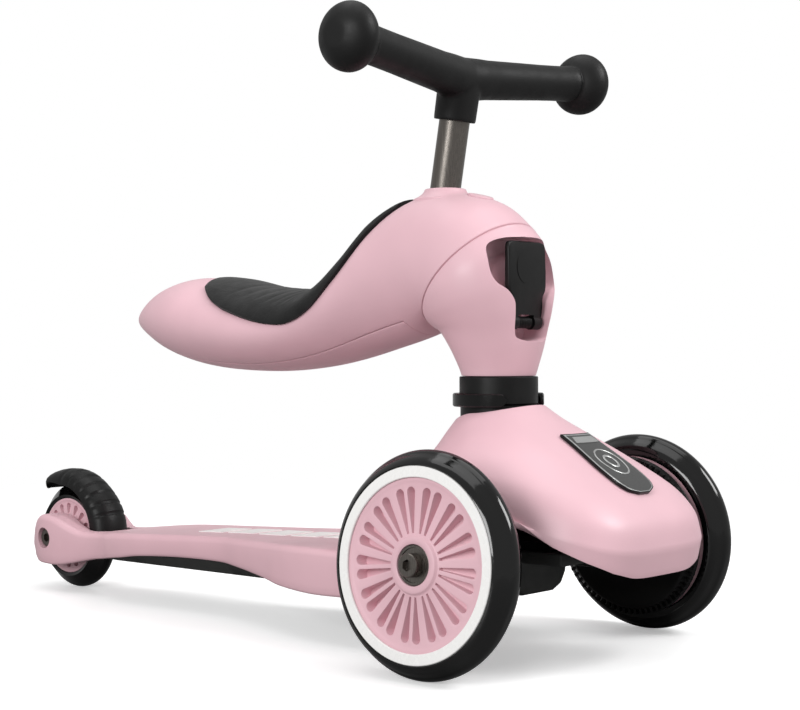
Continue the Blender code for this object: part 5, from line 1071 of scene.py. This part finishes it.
def cowl():
    """Hood over the steering, one even shell with a rounded lower edge."""
    count = 112
    angles = [2 * math.pi * i / count for i in range(count)]
    rings = []
    last = len(COWL_RINGS) - 1
    for station in spread(0, last, last * 5 + 1):
        row = blend_rows(COWL_RINGS, station)
        rings.append([cowl_point(row, angle) for angle in angles])
    rim = [cowl_point(COWL_RIM, angle) for angle in angles]
    above = rings[-1]
    for share in (0.2, 0.4, 0.6, 0.8, 1.0):
        rings.append([a.lerp(b, share) for a, b in zip(above, rim)])
    shell = ringed("cowl_shell", rings)
    pick(shell)
    bpy.ops.object.mode_set(mode="EDIT")
    bpy.ops.mesh.select_all(action="DESELECT")
    bpy.ops.object.mode_set(mode="OBJECT")
    for polygon in shell.data.polygons:
        polygon.select = len(polygon.vertices) > 4      # the two caps
    bpy.ops.object.mode_set(mode="EDIT")
    bpy.ops.mesh.select_mode(type="FACE")
    bpy.ops.mesh.delete(type="FACE")
    bpy.ops.mesh.select_mode(type="VERT")
    bpy.ops.object.mode_set(mode="OBJECT")
    modify(shell, "SOLIDIFY", thickness=3 * MM, offset=-1)
    soften(shell, 0.9 * MM, 50, 3)
    finish(shell, "frame", "pink", "front_cowl", smooth=50)


def hood_point(station, across, lift):
    """A point on the hood at a station and a sideways distance, lifted along its normal."""
    row = blend_rows(COWL_RINGS, station)
    share = across / row[2]
    along = (1 - abs(share) ** row[3]) ** (1 / row[3])
    angle = math.atan2(share, along)
    point = cowl_point(row, angle)
    following = cowl_point(blend_rows(COWL_RINGS, station + 0.1), angle)
    beside = cowl_point(row, angle + 0.02)
    normal = (following - point).cross(beside - point).normalized()
    if normal.z < 0:
        normal = -normal
    return point + normal * lift


# Half outline of the badge: cowl station and half width in millimetres
BADGE_OUTLINE = [
    (1.95, 13.6), (2.4, 14.2), (2.9, 15.6), (3.4, 16.8), (3.85, 16.0), (4.15, 12.8), (4.38, 7.8),
]


def badge():
    """A plain shield: black surround, white line and a bare satin field."""
    low, high = BADGE_OUTLINE[0][0], BADGE_OUTLINE[-1][0]
    nose_inset, both_insets = 0.055, 0.09       # stations a millimetre

    def layer(name, inset, lift, thickness, look, *nodes):
        def place(across, along, extra=0.0):
            share = (along + 1) / 2
            station = low + inset * nose_inset + (high - low - inset * both_insets) * share
            half = max(read_at(BADGE_OUTLINE, station) - inset, 2.0)
            if share > 0.9:
                half *= 1 - 0.35 * ((share - 0.9) / 0.1) ** 2
            return hood_point(station, across * half, lift + extra)

        plate = sheeted(name, 24, 44, place, thickness)
        soften(plate, 0.35 * MM, 50, 2)
        finish(plate, "frame", look, *nodes)

    layer("badge_surround", 0, 2.1 * MM, 1.7 * MM, "gloss", "badge_plate")
    layer("badge_line", 1.0, 2.35 * MM, 0.8 * MM, "badge")
    layer("badge_field", 1.9, 2.5 * MM, 0.8 * MM, "field")
    hood_ring("badge_ring", 3.15, 10.6, 0.55, 2.6 * MM)
    hood_ring("badge_boss", 3.15, 4.6, 0.8, 2.6 * MM)

    def label(across, along, extra=0.0):
        station = 2.28 + 0.13 * along
        return hood_point(station, across * (10.2 + along), 2.85 * MM + extra)

    plate = sheeted("badge_label", 16, 8, label, 0.6 * MM)
    finish(plate, "frame", "badge")


def hood_ring(name, station, radius, width, lift):
    """A raised ring on the badge's field."""
    station_length, squeeze = 24, 0.92      # millimetres a station, and the ring's width share
    rings = []
    for index in range(72):
        turn = 2 * math.pi * index / 72
        ring = []
        for side in range(8):
            around = 2 * math.pi * side / 8
            reach = radius + width * math.cos(around)
            ring.append(hood_point(
                station + reach * math.sin(turn) / station_length,
                reach * math.cos(turn) * squeeze, lift + 0.3 * MM * math.sin(around),
            ))
        rings.append(ring)
    ring = ringed(name, rings, closed=True)
    finish(ring, "frame", "badge", smooth=60)


# Column, collar and clip

def column():
    centre = Vector((0, COLUMN_Y, 0))
    profile = in_mm([
        (4.0, 178.7), (18.6, 178.7), (19.0, 178.3), (19.0, 146.0), (22.6, 146.0), (23.2, 145.4),
        (23.2, 76.5), (22.7, 76.0), (15.8, 76.0), (15.8, 173.7), (4.0, 173.7),
    ])
    tube = spun("column_tube", profile, centre)
    finish(tube, "column", "black", "stem_column")
    profile = in_mm([
        (19.3, 146.3), (23.3, 146.3), (23.75, 146.7), (23.75, 162.2), (23.3, 162.7), (19.3, 162.7),
    ])
    collar = spun("collar_ring", profile, centre)
    finish(collar, "column", "black", "column_collar")
    clip(centre)


def clip(centre):
    """Snap clip round the collar, with thick rounded ends."""
    opening = math.radians(85)
    inner = 24.05 * MM
    wall = 3.8 * MM
    bottom, height = 144.7 * MM, 8 * MM
    start = -math.pi / 2 + opening / 2
    sweep = 2 * math.pi - opening
    end_round = 3.2 * MM
    rings = []
    for share in spread(0, 1, 73):
        angle = start + sweep * share
        end = min(share, 1 - share) * sweep * 25 * MM
        pinch = 1.0
        if end < end_round:
            pinch = math.sqrt(max(1 - (1 - end / end_round) ** 2, 0.04))
        half = height / 2 * pinch
        middle = bottom + height / 2
        low_r = inner + wall * (1 - pinch) * 0.4
        high_r = inner + wall * (1 - 0.35 * (1 - pinch))
        edge = min(0.7 * MM, 0.4 * half)
        section = [
            (low_r, middle - half), (high_r - edge, middle - half), (high_r, middle - half + edge),
            (high_r, middle + half - edge), (high_r - edge, middle + half), (low_r, middle + half),
        ]
        direction = Vector((math.cos(angle), math.sin(angle), 0))
        rings.append([centre + direction * r + Z_AXIS * z for r, z in section])
    band = ringed("height_clip", rings)
    finish(band, "column", "gloss", "lock_clip")


# Stem and seat

def section(row):
    """(top point, bottom point, half width) in metres."""
    top = Vector((0, FRONT_AXLE_Y + row[0] * MM, row[1] * MM))
    bottom = Vector((0, FRONT_AXLE_Y + row[2] * MM, row[3] * MM))
    return top, bottom, row[4] * MM


def seam_row(offset, radius=SEAM_RADIUS):
    """The round section in the swivel plane, as a table row."""
    forward = Vector((0, -SWIVEL_AXIS.z, SWIVEL_AXIS.y))
    centre = SWIVEL_CENTRE + SWIVEL_AXIS * offset
    row = []
    for point in (centre + forward * radius, centre - forward * radius):
        row += [(point.y - FRONT_AXLE_Y) / MM, point.z / MM]
    return (*row, radius / MM)


def section_point(part, angle):
    top, bottom, half_width = part
    centre = (top + bottom) / 2
    return centre + (top - bottom) / 2 * math.cos(angle) + X_AXIS * half_width * math.sin(angle)


def section_ring(row, count=SHELL_SIDES, wall=0.0):
    """The ring of a table row, drawn in by a wall."""
    top, bottom, half_width = section(row)
    up = (top - bottom).normalized() * wall
    part = (top - up, bottom + up, half_width - wall)
    return [section_point(part, 2 * math.pi * i / count) for i in range(count)]


def stem():
    """Lower shell, with the lever's window in its front."""
    rows = STEM_SECTIONS + [seam_row(-GAP)]
    last = len(rows) - 1
    rings = [
        section_ring((11.2, 163.0, 54.8, 163.0, 21.6)),
        section_ring((10.75, 163.3, 55.25, 163.3, 22.05)),
    ]
    for station in spread(0.05, last - 0.06, last * 6):
        rings.append(section_ring(blend_rows(rows, station)))
    rings.append(section_ring(seam_row(-GAP - 0.5 * MM)))
    rings.append(section_ring(seam_row(-GAP, SEAM_RADIUS - 0.5 * MM)))
    shell = ringed("stem_lower_shell", rings)
    stations = spread(0, len(WINDOW_OUTLINE) - 1, 61)
    outline = in_mm([blend_rows(WINDOW_OUTLINE, station) for station in stations])
    outline += [(-x, z) for x, z in reversed(outline)]
    window = outlined("window", outline, FRONT_AXLE_Y - 40 * MM, FRONT_AXLE_Y + 26 * MM)
    depth = 18.5 * MM       # of the window's recess
    inside = [section_ring(blend_rows(rows, station), 64, depth) for station in spread(2, last, 24)]
    carve(window, ringed("window_core", inside))
    foot = Vector((0, COLUMN_Y, 150 * MM))
    carve(shell, window, rod("spigot_bore", 19.3 * MM, foot, foot + Z_AXIS * 29 * MM))
    carve(shell, crossbar("pin_hole", 2.1 * MM, LEVER_PIN, 20.8 * MM))
    soften(shell, 0.7 * MM, 50, 3)
    finish(shell, "column", "pink", "stem_shell", smooth=50)


def lever():
    """Release lever: a broad thumb plate on a narrower foot, hinged at the bottom."""
    half = [
        (8, 243.2), (14, 243.1), (16.6, 242.5), (17.9, 241.2), (18.3, 239), (18.3, 226),
        (18.3, 217), (17.6, 213.6), (15.8, 211.2), (14.9, 208.4), (14.8, 204), (14.8, 200),
        (14.8, 197), (14.4, 195.2), (12, 194.6), (6, 194.6),
    ]
    outline = half + [(-x, z) for x, z in reversed(half)]
    foot_bend, head_bend = 201.5, 236       # heights past which the plate leans back
    rings = []
    for depth in (10.7, 12.6, 14.5):
        ring = []
        for x, z in outline:
            back = depth + max(0, foot_bend - z) * 0.3
            if z > head_bend and depth < 12:
                back += (z - head_bend) * 0.12
            ring.append(Vector((x * MM, FRONT_AXLE_Y + back * MM, z * MM)))
        rings.append(ring)
    plate = ringed("lever_plate", rings)
    soften(plate, 0.9 * MM, 50, 3)
    middle = 228 * MM
    groove = disc(
        "lever_recess", 11.5 * MM, middle, FRONT_AXLE_Y + 8 * MM, FRONT_AXLE_Y + 11.1 * MM
    )
    island = disc("lever_island", 10.3 * MM, middle, FRONT_AXLE_Y + 7 * MM, FRONT_AXLE_Y + 12 * MM)
    carve(groove, island)
    carve(plate, groove)
    pin = LEVER_PIN
    eye = crossbar("lever_eye", 4.3 * MM, pin, 15.3 * MM)
    soften(eye, 0.4 * MM)
    room = crossbar("lever_room", 5.5 * MM, pin, 7.3 * MM)
    hole = crossbar("lever_hole", 2.2 * MM, pin, 30 * MM)
    fuse(plate, eye)
    carve(plate, room, hole)
    finish(plate, "lever", "black", "release_lever", smooth=40)
    coil()


def coil():
    """The lever's torsion spring, wound round its pin."""
    turns, radius, wire, length = 9, 3.1 * MM, 0.55 * MM, 12 * MM
    points = []
    for index in range(turns * 16 + 1):
        turn = 2 * math.pi * index / 16
        x = length * (index / (turns * 16) - 0.5)
        points.append(LEVER_PIN + Vector((x, radius * math.cos(turn), radius * math.sin(turn))))
    curve = bpy.data.curves.new("lever_coil", "CURVE")
    curve.dimensions = "3D"
    spline = curve.splines.new("POLY")
    spline.points.add(len(points) - 1)
    for point, place in zip(spline.points, points):
        point.co = (*place, 1)
    curve.bevel_depth = wire
    curve.bevel_resolution = 2
    curve.use_fill_caps = True
    obj = bpy.data.objects.new("lever_coil", curve)
    bpy.context.scene.collection.objects.link(obj)
    pick(obj)
    bpy.ops.object.convert(target="MESH")
    finish(bpy.context.object, "column", "black", "lever_spring", slot="steel")


def seat_rows():
    return [seam_row(GAP)] + SEAT_SECTIONS


def seat_point(station, angle, lift=0.0):
    """A point of the seat's outer surface, lifted along its normal."""
    rows = seat_rows()
    point = section_point(section(blend_rows(rows, station)), angle)
    if lift == 0:
        return point
    further = min(station + 0.05, len(rows) - 1.001)
    ahead = section_point(section(blend_rows(rows, further)), angle)
    behind = section_point(section(blend_rows(rows, station - 0.05)), angle)
    beside = section_point(section(blend_rows(rows, station)), angle + 0.02)
    normal = (beside - point).cross(ahead - behind).normalized()
    return point + normal * lift


def seat():
    """Upper shell from the swivel seam to the tail, with the pad's bed and the bar's collar."""
    rows = seat_rows()
    last = len(rows) - 1
    rings = [
        section_ring(seam_row(GAP, SEAM_RADIUS - 0.5 * MM)),
        section_ring(seam_row(GAP + 0.5 * MM)),
    ]
    for station in spread(0.06, last, last * 6):
        rings.append(section_ring(blend_rows(rows, station)))
    shell = ringed("seat_upper_shell", rings)
    flare = in_mm([
        (0, 0), (12.4, 0), (12.9, -0.4), (13.4, -1.6), (14.5, -3), (16.7, -4.6), (19.9, -6.2),
        (20.3, -12), (0, -12),
    ])
    fuse(shell, spun("bar_collar", flare, BAR_POINT, Z_AXIS, 96))
    pad_bed = pad_sheet(
        "pad_bed", edge_lift=3 * MM, middle_lift=3 * MM, thickness=7.9 * MM, margin=0.5 * MM
    )
    carve(shell, pad_bed)
    carve(shell, panel_sheet("panel_bed", lift=4 * MM, thickness=14 * MM, margin=0.5 * MM))
    mouth = rod(
        "bar_mouth", 9.9 * MM, BAR_POINT - BAR_AXIS * 60 * MM, BAR_POINT + BAR_AXIS * 10 * MM
    )
    button_station = 1.55
    button_at = seat_point(button_station, 0)
    button_axis = seat_point(button_station, 0, MM) - button_at
    button_axis.x = 0
    button_axis.normalize()
    button_hole = rod(
        "button_hole", 8.4 * MM, button_at - button_axis * 20 * MM, button_at + button_axis * 9 * MM
    )
    carve(shell, mouth, button_hole)
    soften(shell, 0.5 * MM, 50, 2)
    finish(shell, "seat", "pink", "seat_shell", smooth=50)

    button = rod(
        "bar_button", 8 * MM, button_at - button_axis * 12 * MM, button_at + button_axis * 0.6 * MM
    )
    soften(button, 0.9 * MM, 50, 3)
    finish(button, "button", "pink", "bar_release_button", smooth=50)

    panel = panel_sheet("underside_panel", thickness=3 * MM)
    soften(panel, 0.4 * MM, 50, 2)
    finish(panel, "seat", "pink", "seat_underside_panel", smooth=50)

    pad = pad_sheet(
        "seat_pad_foam", edge_lift=-0.8 * MM, middle_lift=1.2 * MM, thickness=3.6 * MM,
        rib=0.45 * MM,
    )
    soften(pad, 0.7 * MM, 50, 3)
    finish(pad, "seat", "pad", "seat_pad", smooth=60)


def pad_sheet(name, edge_lift, middle_lift, thickness, margin=0, rib=0):
    """The pad's outline laid on the seat: crowned, with shallow ribs across its middle."""
    start = PAD_OUTLINE[0][0] - margin / STATION_LENGTH
    end = PAD_OUTLINE[-1][0] + margin / STATION_LENGTH
    first_rib, last_rib, pitch, run_out = 6.0, 10.4, 0.42, 0.3      # stations

    def place(across, along, extra=0.0):
        station = start + (end - start) * (along + 1) / 2
        half = math.radians(read_at(PAD_OUTLINE, station)) + margin / SHELL_GIRTH
        edge = max(abs(across), abs(along)) ** 8
        lift = middle_lift + (edge_lift - middle_lift) * edge
        if rib and first_rib < station < last_rib:
            fade = min(1, (station - first_rib) / run_out, (last_rib - station) / run_out)
            fade *= max(0, 1 - (abs(across) / 0.72) ** 8)
            lift -= rib * fade * (0.5 + 0.5 * math.cos(2 * math.pi * station / pitch)) ** 2
        return seat_point(station, half * across, lift + extra)

    return sheeted(name, 44, 220 if rib else 90, place, thickness)


def panel_sheet(name, thickness, lift=0, margin=0):
    """The long plate in the seat's underside."""
    start, end = 1.6 - margin / STATION_LENGTH, 12.6 + margin / STATION_LENGTH
    half = math.radians(37) + margin / SHELL_GIRTH

    def place(across, along, extra=0.0):
        station = start + (end - start) * (along + 1) / 2
        rounding = 1 - 0.5 * max(0, abs(along) - 0.94) / 0.06
        return seat_point(station, math.pi - half * across * rounding, lift + extra)

    return sheeted(name, 24, 90, place, thickness)


# Bar and handlebar

def bar():
    """Tube of the T-bar, 19 mm across."""
    outer, bore, depth, length = 9.5 * MM, 8 * MM, 58 * MM, 123 * MM
    profile = [(outer, GAP), (outer, length), (bore, length), (bore, GAP)]
    tube = spun("bar_tube_brushed", profile, BAR_POINT - BAR_AXIS * depth, BAR_AXIS, 96)
    finish(tube, "bar", "tube", "bar_tube")


def handlebar():
    """One soft moulding: two knobs, two arms and the sleeve on the tube."""
    low = BAR_POINT + BAR_AXIS * 42 * MM
    middle = low + BAR_AXIS * 26 * MM
    span, rise, sweep, radius = 112.9, 9.0, 11.5, 11.5      # millimetres, as are the rows below
    knob_radius, knob_depth, knob_reach = 20.05, 14, 13.05
    half = []
    for degrees in spread(6, 152, 26):
        turn = math.radians(degrees)
        x = span + min(knob_depth * math.cos(turn), knob_reach)
        half.append((x, knob_radius * math.sin(turn)))
    neck = half[-1][0]
    half += [
        (neck - 0.8, radius + 0.6), (neck - 2.2, radius + 0.5), (neck - 3.0, radius),
        (neck - 14, radius - 0.1), (neck - 30, radius), (neck - 50, radius + 0.4),
        (22, radius + 0.9), (12, radius + 1.6),
    ]
    stations = half + [(0, radius + 2.0)] + [(-x, r) for x, r in reversed(half)]
    rings = []
    for x, r in reversed(stations):
        share = min(1, abs(x) / span)
        centre = middle + Vector((x * MM, -sweep * share * MM, rise * share * MM))
        ring = []
        for index in range(56):
            turn = 2 * math.pi * index / 56
            ring.append(centre + Vector((0, r * MM * math.cos(turn), r * MM * math.sin(turn))))
        rings.append(ring)
    grip = ringed("t_handlebar", rings)
    sleeve = rod("sleeve", 13 * MM, low, middle, 96, 13.4 * MM)
    fuse(grip, sleeve)
    modify(grip, "REMESH", mode="VOXEL", voxel_size=0.8 * MM)
    modify(grip, "SMOOTH", factor=0.5, iterations=14)
    mouth = rod("sleeve_mouth", 9.8 * MM, low - BAR_AXIS * 5 * MM, low + BAR_AXIS * 23.3 * MM, 96)
    trim = rod("sleeve_trim", 30 * MM, low - BAR_AXIS * 20 * MM, low + BAR_AXIS * 0.4 * MM, 96)
    carve(grip, trim, mouth)
    finish(grip, "bar", "grip", "handlebar", smooth=60)


def keep_nodes():
    """The small fittings stay as they are, in real finishes."""
    moulded = ("column_socket", "bar_socket", "lever_pin")
    for name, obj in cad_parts.items():
        if not obj.hide_render:
            obj.data.materials.clear()
            obj.data.materials.append(MATERIALS["black" if name in moulded else "steel"])


# Stage

def studio_floor(colour):
    """A floor that keeps the object's shadow and fades out before the horizon."""
    clear_selection()
    bpy.ops.mesh.primitive_plane_add(size=14, location=(0, 0, 0))
    floor = bpy.context.object
    floor.name = "studio_floor"
    material = bpy.data.materials.new("white studio floor")
    material.use_nodes = True
    tree = material.node_tree
    shader = tree.nodes["Principled BSDF"]
    shader.inputs["Base Color"].default_value = colour
    shader.inputs["Roughness"].default_value = 0.35
    shader.inputs["Specular IOR Level"].default_value = 0.3
    shader.inputs["Emission Color"].default_value = (1, 1, 1, 1)
    sight = add_node(tree, "ShaderNodeLightPath").outputs["Is Camera Ray"]
    tree.links.new(ramp(tree, sight, 0.0, 0.36, 0.0, 1.0), shader.inputs["Emission Strength"])
    mottle(tree, shader, sight, shade(colour, 0.25), colour)
    where = add_node(tree, "ShaderNodeTexCoord").outputs["Object"]
    far = add_node(tree, "ShaderNodeVectorMath", {"Vector": where}, operation="LENGTH")
    fade = add_node(
        tree, "ShaderNodeMapRange", {"Value": far.outputs["Value"]},
        interpolation_type="SMOOTHSTEP", From_Min=0.45, From_Max=1.3,
    )
    clear = add_node(tree, "ShaderNodeBsdfTransparent")
    mix_by(tree, fade.outputs["Result"], shader, clear, tree.nodes["Material Output"])
    floor.data.materials.append(material)


def mix_by(tree, share, near, far, output):
    """Mixes two shaders by a share into the surface of an output."""
    mix = add_node(tree, "ShaderNodeMixShader")
    tree.links.new(share, mix.inputs[0])
    tree.links.new(near.outputs[0], mix.inputs[1])
    tree.links.new(far.outputs[0], mix.inputs[2])
    tree.links.new(mix.outputs[0], output.inputs["Surface"])


def studio_world():
    """Soft light from all sides, seen as white by the camera."""
    world = bpy.data.worlds.new("studio")
    bpy.context.scene.world = world
    world.use_nodes = True
    tree = world.node_tree
    background = tree.nodes["Background"]
    background.inputs["Color"].default_value = (1, 1, 1, 1)
    background.inputs["Strength"].default_value = 0.5
    seen = add_node(tree, "ShaderNodeBackground", Color=(1, 1, 1, 1), Strength=1.0)
    sight = add_node(tree, "ShaderNodeLightPath").outputs["Is Camera Ray"]
    mix_by(tree, sight, background, seen, tree.nodes["World Output"])


def studio_lamps():
    for name, place, size, power in (
        ("key", (0.7, -1.6, 1.5), 0.9, 28.0),
        ("top", (0.0, 0.1, 1.9), 1.5, 10.0),
        ("side", (-1.9, -0.35, 0.75), 0.8, 22.0),
    ):
        data = bpy.data.lights.new(name, "AREA")
        data.size = size
        data.energy = power
        lamp = bpy.data.objects.new(name, data)
        bpy.context.scene.collection.objects.link(lamp)
        lamp.location = place
        aim = Vector((0, 0, 0.15)) - lamp.location
        lamp.rotation_euler = aim.to_track_quat("-Z", "Y").to_euler()


def studio_camera():
    """Just above the front wheels' height, off the right front corner."""
    data = bpy.data.cameras.new("camera")
    camera = bpy.data.objects.new("camera", data)
    bpy.context.scene.collection.objects.link(camera)
    data.lens = 74.61
    data.sensor_width = 36
    azimuth, elevation, roll = (math.radians(a) for a in (-49.067, 0.099, -0.202))
    back = Vector((
        math.sin(azimuth) * math.cos(elevation), -math.cos(azimuth) * math.cos(elevation),
        math.sin(elevation),
    ))
    right = (-back).cross(Z_AXIS).normalized()
    up = right.cross(-back)
    across = right * math.cos(roll) + up * math.sin(roll)
    above = -right * math.sin(roll) + up * math.cos(roll)
    turn = Matrix((across, above, back)).transposed().to_4x4()
    camera.matrix_world = Matrix.Translation((-0.79502, -0.77296, 0.17750)) @ turn
    bpy.context.scene.camera = camera
    bpy.context.scene.view_settings.view_transform = "Standard"


# Add-on

def size_property(name, size, words):
    return FloatProperty(name=name, description=words, default=size, unit="LENGTH")


class ScooterSizes(bpy.types.PropertyGroup):
    """Sizes of the scooter's wheels"""

    front_radius: size_property("Front radius", FRONT_RADIUS, "Front wheel's, over its tyre")
    rear_radius: size_property("Rear radius", REAR_RADIUS, "Rear wheel's, over its tyre")
    front_web: size_property("Wheel web", 18.6 * MM, "Thickness of a front wheel's web")


def colour_property(name, code, words):
    return FloatVectorProperty(
        name=name, description=words, subtype="COLOR", size=4, min=0, max=1,
        default=hex_colour(code),
    )


class ScooterColours(bpy.types.PropertyGroup):
    """Colours of the scooter's finishes"""

    body: colour_property("Body", "#deb5be", "Pink of the shells, the deck and the wheel cores")
    fittings: colour_property("Fittings", "#0b0b0b", "Black of the column, guards and brake")
    grip: colour_property("Grip", "#0c0c0c", "Black of the handlebar")
    # The housing colour is painted fill light: black plastic made lighter where it sits in deep
    # shade under the cowl and deck
    housing: colour_property("Housing", "#343534", "Black of the axle plate and the belly pan, lightened as painted fill light for their shade")
    tyre: colour_property("Tyre", "#050505", "Black of the tyres")
    trim: colour_property("Trim", "#f2f1ef", "White of the rim rings and the deck's bars")
    steel: colour_property("Steel", "#75706b", "Steel of the tube and the bolts")
    pad: colour_property("Pad", "#0a0a0a", "Black of the seat pad")
    badge: colour_property("Badge", "#b9bab9", "Grey of the badge's field")
    floor: colour_property("Floor", "#ffffff", "White of the studio floor")


class SCOOTER_OT_finishes(bpy.types.Operator):
    """Makes the materials of all pieces"""

    bl_idname = "scooter.finishes"
    bl_label = "Finishes"

    def execute(self, context):
        make_materials(context.scene.scooter_colours)
        return {"FINISHED"}


class SCOOTER_OT_wheels(bpy.types.Operator):
    """Models the two front wheels and the rear wheel"""

    bl_idname = "scooter.wheels"
    bl_label = "Wheels"

    def execute(self, context):
        sizes = context.scene.scooter_sizes
        front_wheel(sizes, -1, "right")
        front_wheel(sizes, 1, "left")
        rear_wheel(sizes)
        return {"FINISHED"}


class SCOOTER_OT_steering(bpy.types.Operator):
    """Models the steering knuckles with their guards, and the axle beam"""

    bl_idname = "scooter.steering"
    bl_label = "Steering"

    def execute(self, context):
        knuckle(-1, "right")
        knuckle(1, "left")
        axle_beam()
        return {"FINISHED"}


class SCOOTER_OT_deck(bpy.types.Operator):
    """Models the deck, its underside cover and the foot brake"""

    bl_idname = "scooter.deck"
    bl_label = "Deck and brake"

    def execute(self, context):
        deck()
        cover()
        fender()
        return {"FINISHED"}


class SCOOTER_OT_cowl(bpy.types.Operator):
    """Models the cowl and its bare badge"""

    bl_idname = "scooter.cowl"
    bl_label = "Cowl"

    def execute(self, context):
        cowl()
        badge()
        return {"FINISHED"}


class SCOOTER_OT_column(bpy.types.Operator):
    """Models the column, its collar and its clip"""

    bl_idname = "scooter.column"
    bl_label = "Column"

    def execute(self, context):
        column()
        return {"FINISHED"}


class SCOOTER_OT_stem(bpy.types.Operator):
    """Models the stem shell, the release lever and its spring"""

    bl_idname = "scooter.stem"
    bl_label = "Stem"

    def execute(self, context):
        stem()
        lever()
        return {"FINISHED"}


class SCOOTER_OT_seat(bpy.types.Operator):
    """Models the seat shell, its panel, its pad and the bar's button"""

    bl_idname = "scooter.seat"
    bl_label = "Seat"

    def execute(self, context):
        seat()
        return {"FINISHED"}


class SCOOTER_OT_handlebar(bpy.types.Operator):
    """Models the tube and the handlebar"""

    bl_idname = "scooter.handlebar"
    bl_label = "Handlebar"

    def execute(self, context):
        bar()
        handlebar()
        return {"FINISHED"}


class SCOOTER_OT_fittings(bpy.types.Operator):
    """Gives the small fittings their finishes"""

    bl_idname = "scooter.fittings"
    bl_label = "Fittings"

    def execute(self, context):
        keep_nodes()
        return {"FINISHED"}


class SCOOTER_OT_stage(bpy.types.Operator):
    """Sets the floor, the lamps and the camera"""

    bl_idname = "scooter.stage"
    bl_label = "Studio"

    def execute(self, context):
        studio_floor(context.scene.scooter_colours.floor)
        studio_world()
        studio_lamps()
        studio_camera()
        return {"FINISHED"}


OPERATORS = (
    SCOOTER_OT_finishes, SCOOTER_OT_wheels, SCOOTER_OT_steering, SCOOTER_OT_deck,
    SCOOTER_OT_cowl, SCOOTER_OT_column, SCOOTER_OT_stem, SCOOTER_OT_seat,
    SCOOTER_OT_handlebar, SCOOTER_OT_fittings, SCOOTER_OT_stage,
)


class SCOOTER_PT_panel(bpy.types.Panel):
    """Lists the scooter's steps, sizes and colours"""

    bl_idname = "SCOOTER_PT_panel"
    bl_label = "Kick scooter"
    bl_space_type = "VIEW_3D"
    bl_region_type = "UI"
    bl_category = "Scooter"

    def draw(self, context):
        layout = self.layout
        for group in (context.scene.scooter_sizes, context.scene.scooter_colours):
            for key in group.__annotations__:
                layout.prop(group, key)
        for operator in OPERATORS:
            layout.operator(operator.bl_idname)


CLASSES = (ScooterSizes, ScooterColours) + OPERATORS + (SCOOTER_PT_panel,)


def register():
    for cls in CLASSES:
        bpy.utils.register_class(cls)
    bpy.types.Scene.scooter_sizes = PointerProperty(type=ScooterSizes)
    bpy.types.Scene.scooter_colours = PointerProperty(type=ScooterColours)


def unregister():
    del bpy.types.Scene.scooter_colours
    del bpy.types.Scene.scooter_sizes
    for cls in reversed(CLASSES):
        bpy.utils.unregister_class(cls)


def main():
    register()
    bpy.ops.scooter.finishes()
    bpy.ops.scooter.wheels()
    bpy.ops.scooter.steering()
    bpy.ops.scooter.deck()
    bpy.ops.scooter.cowl()
    bpy.ops.scooter.column()
    bpy.ops.scooter.stem()
    bpy.ops.scooter.seat()
    bpy.ops.scooter.handlebar()
    bpy.ops.scooter.fittings()
    bpy.ops.scooter.stage()


if __name__ == "__main__":
    main()
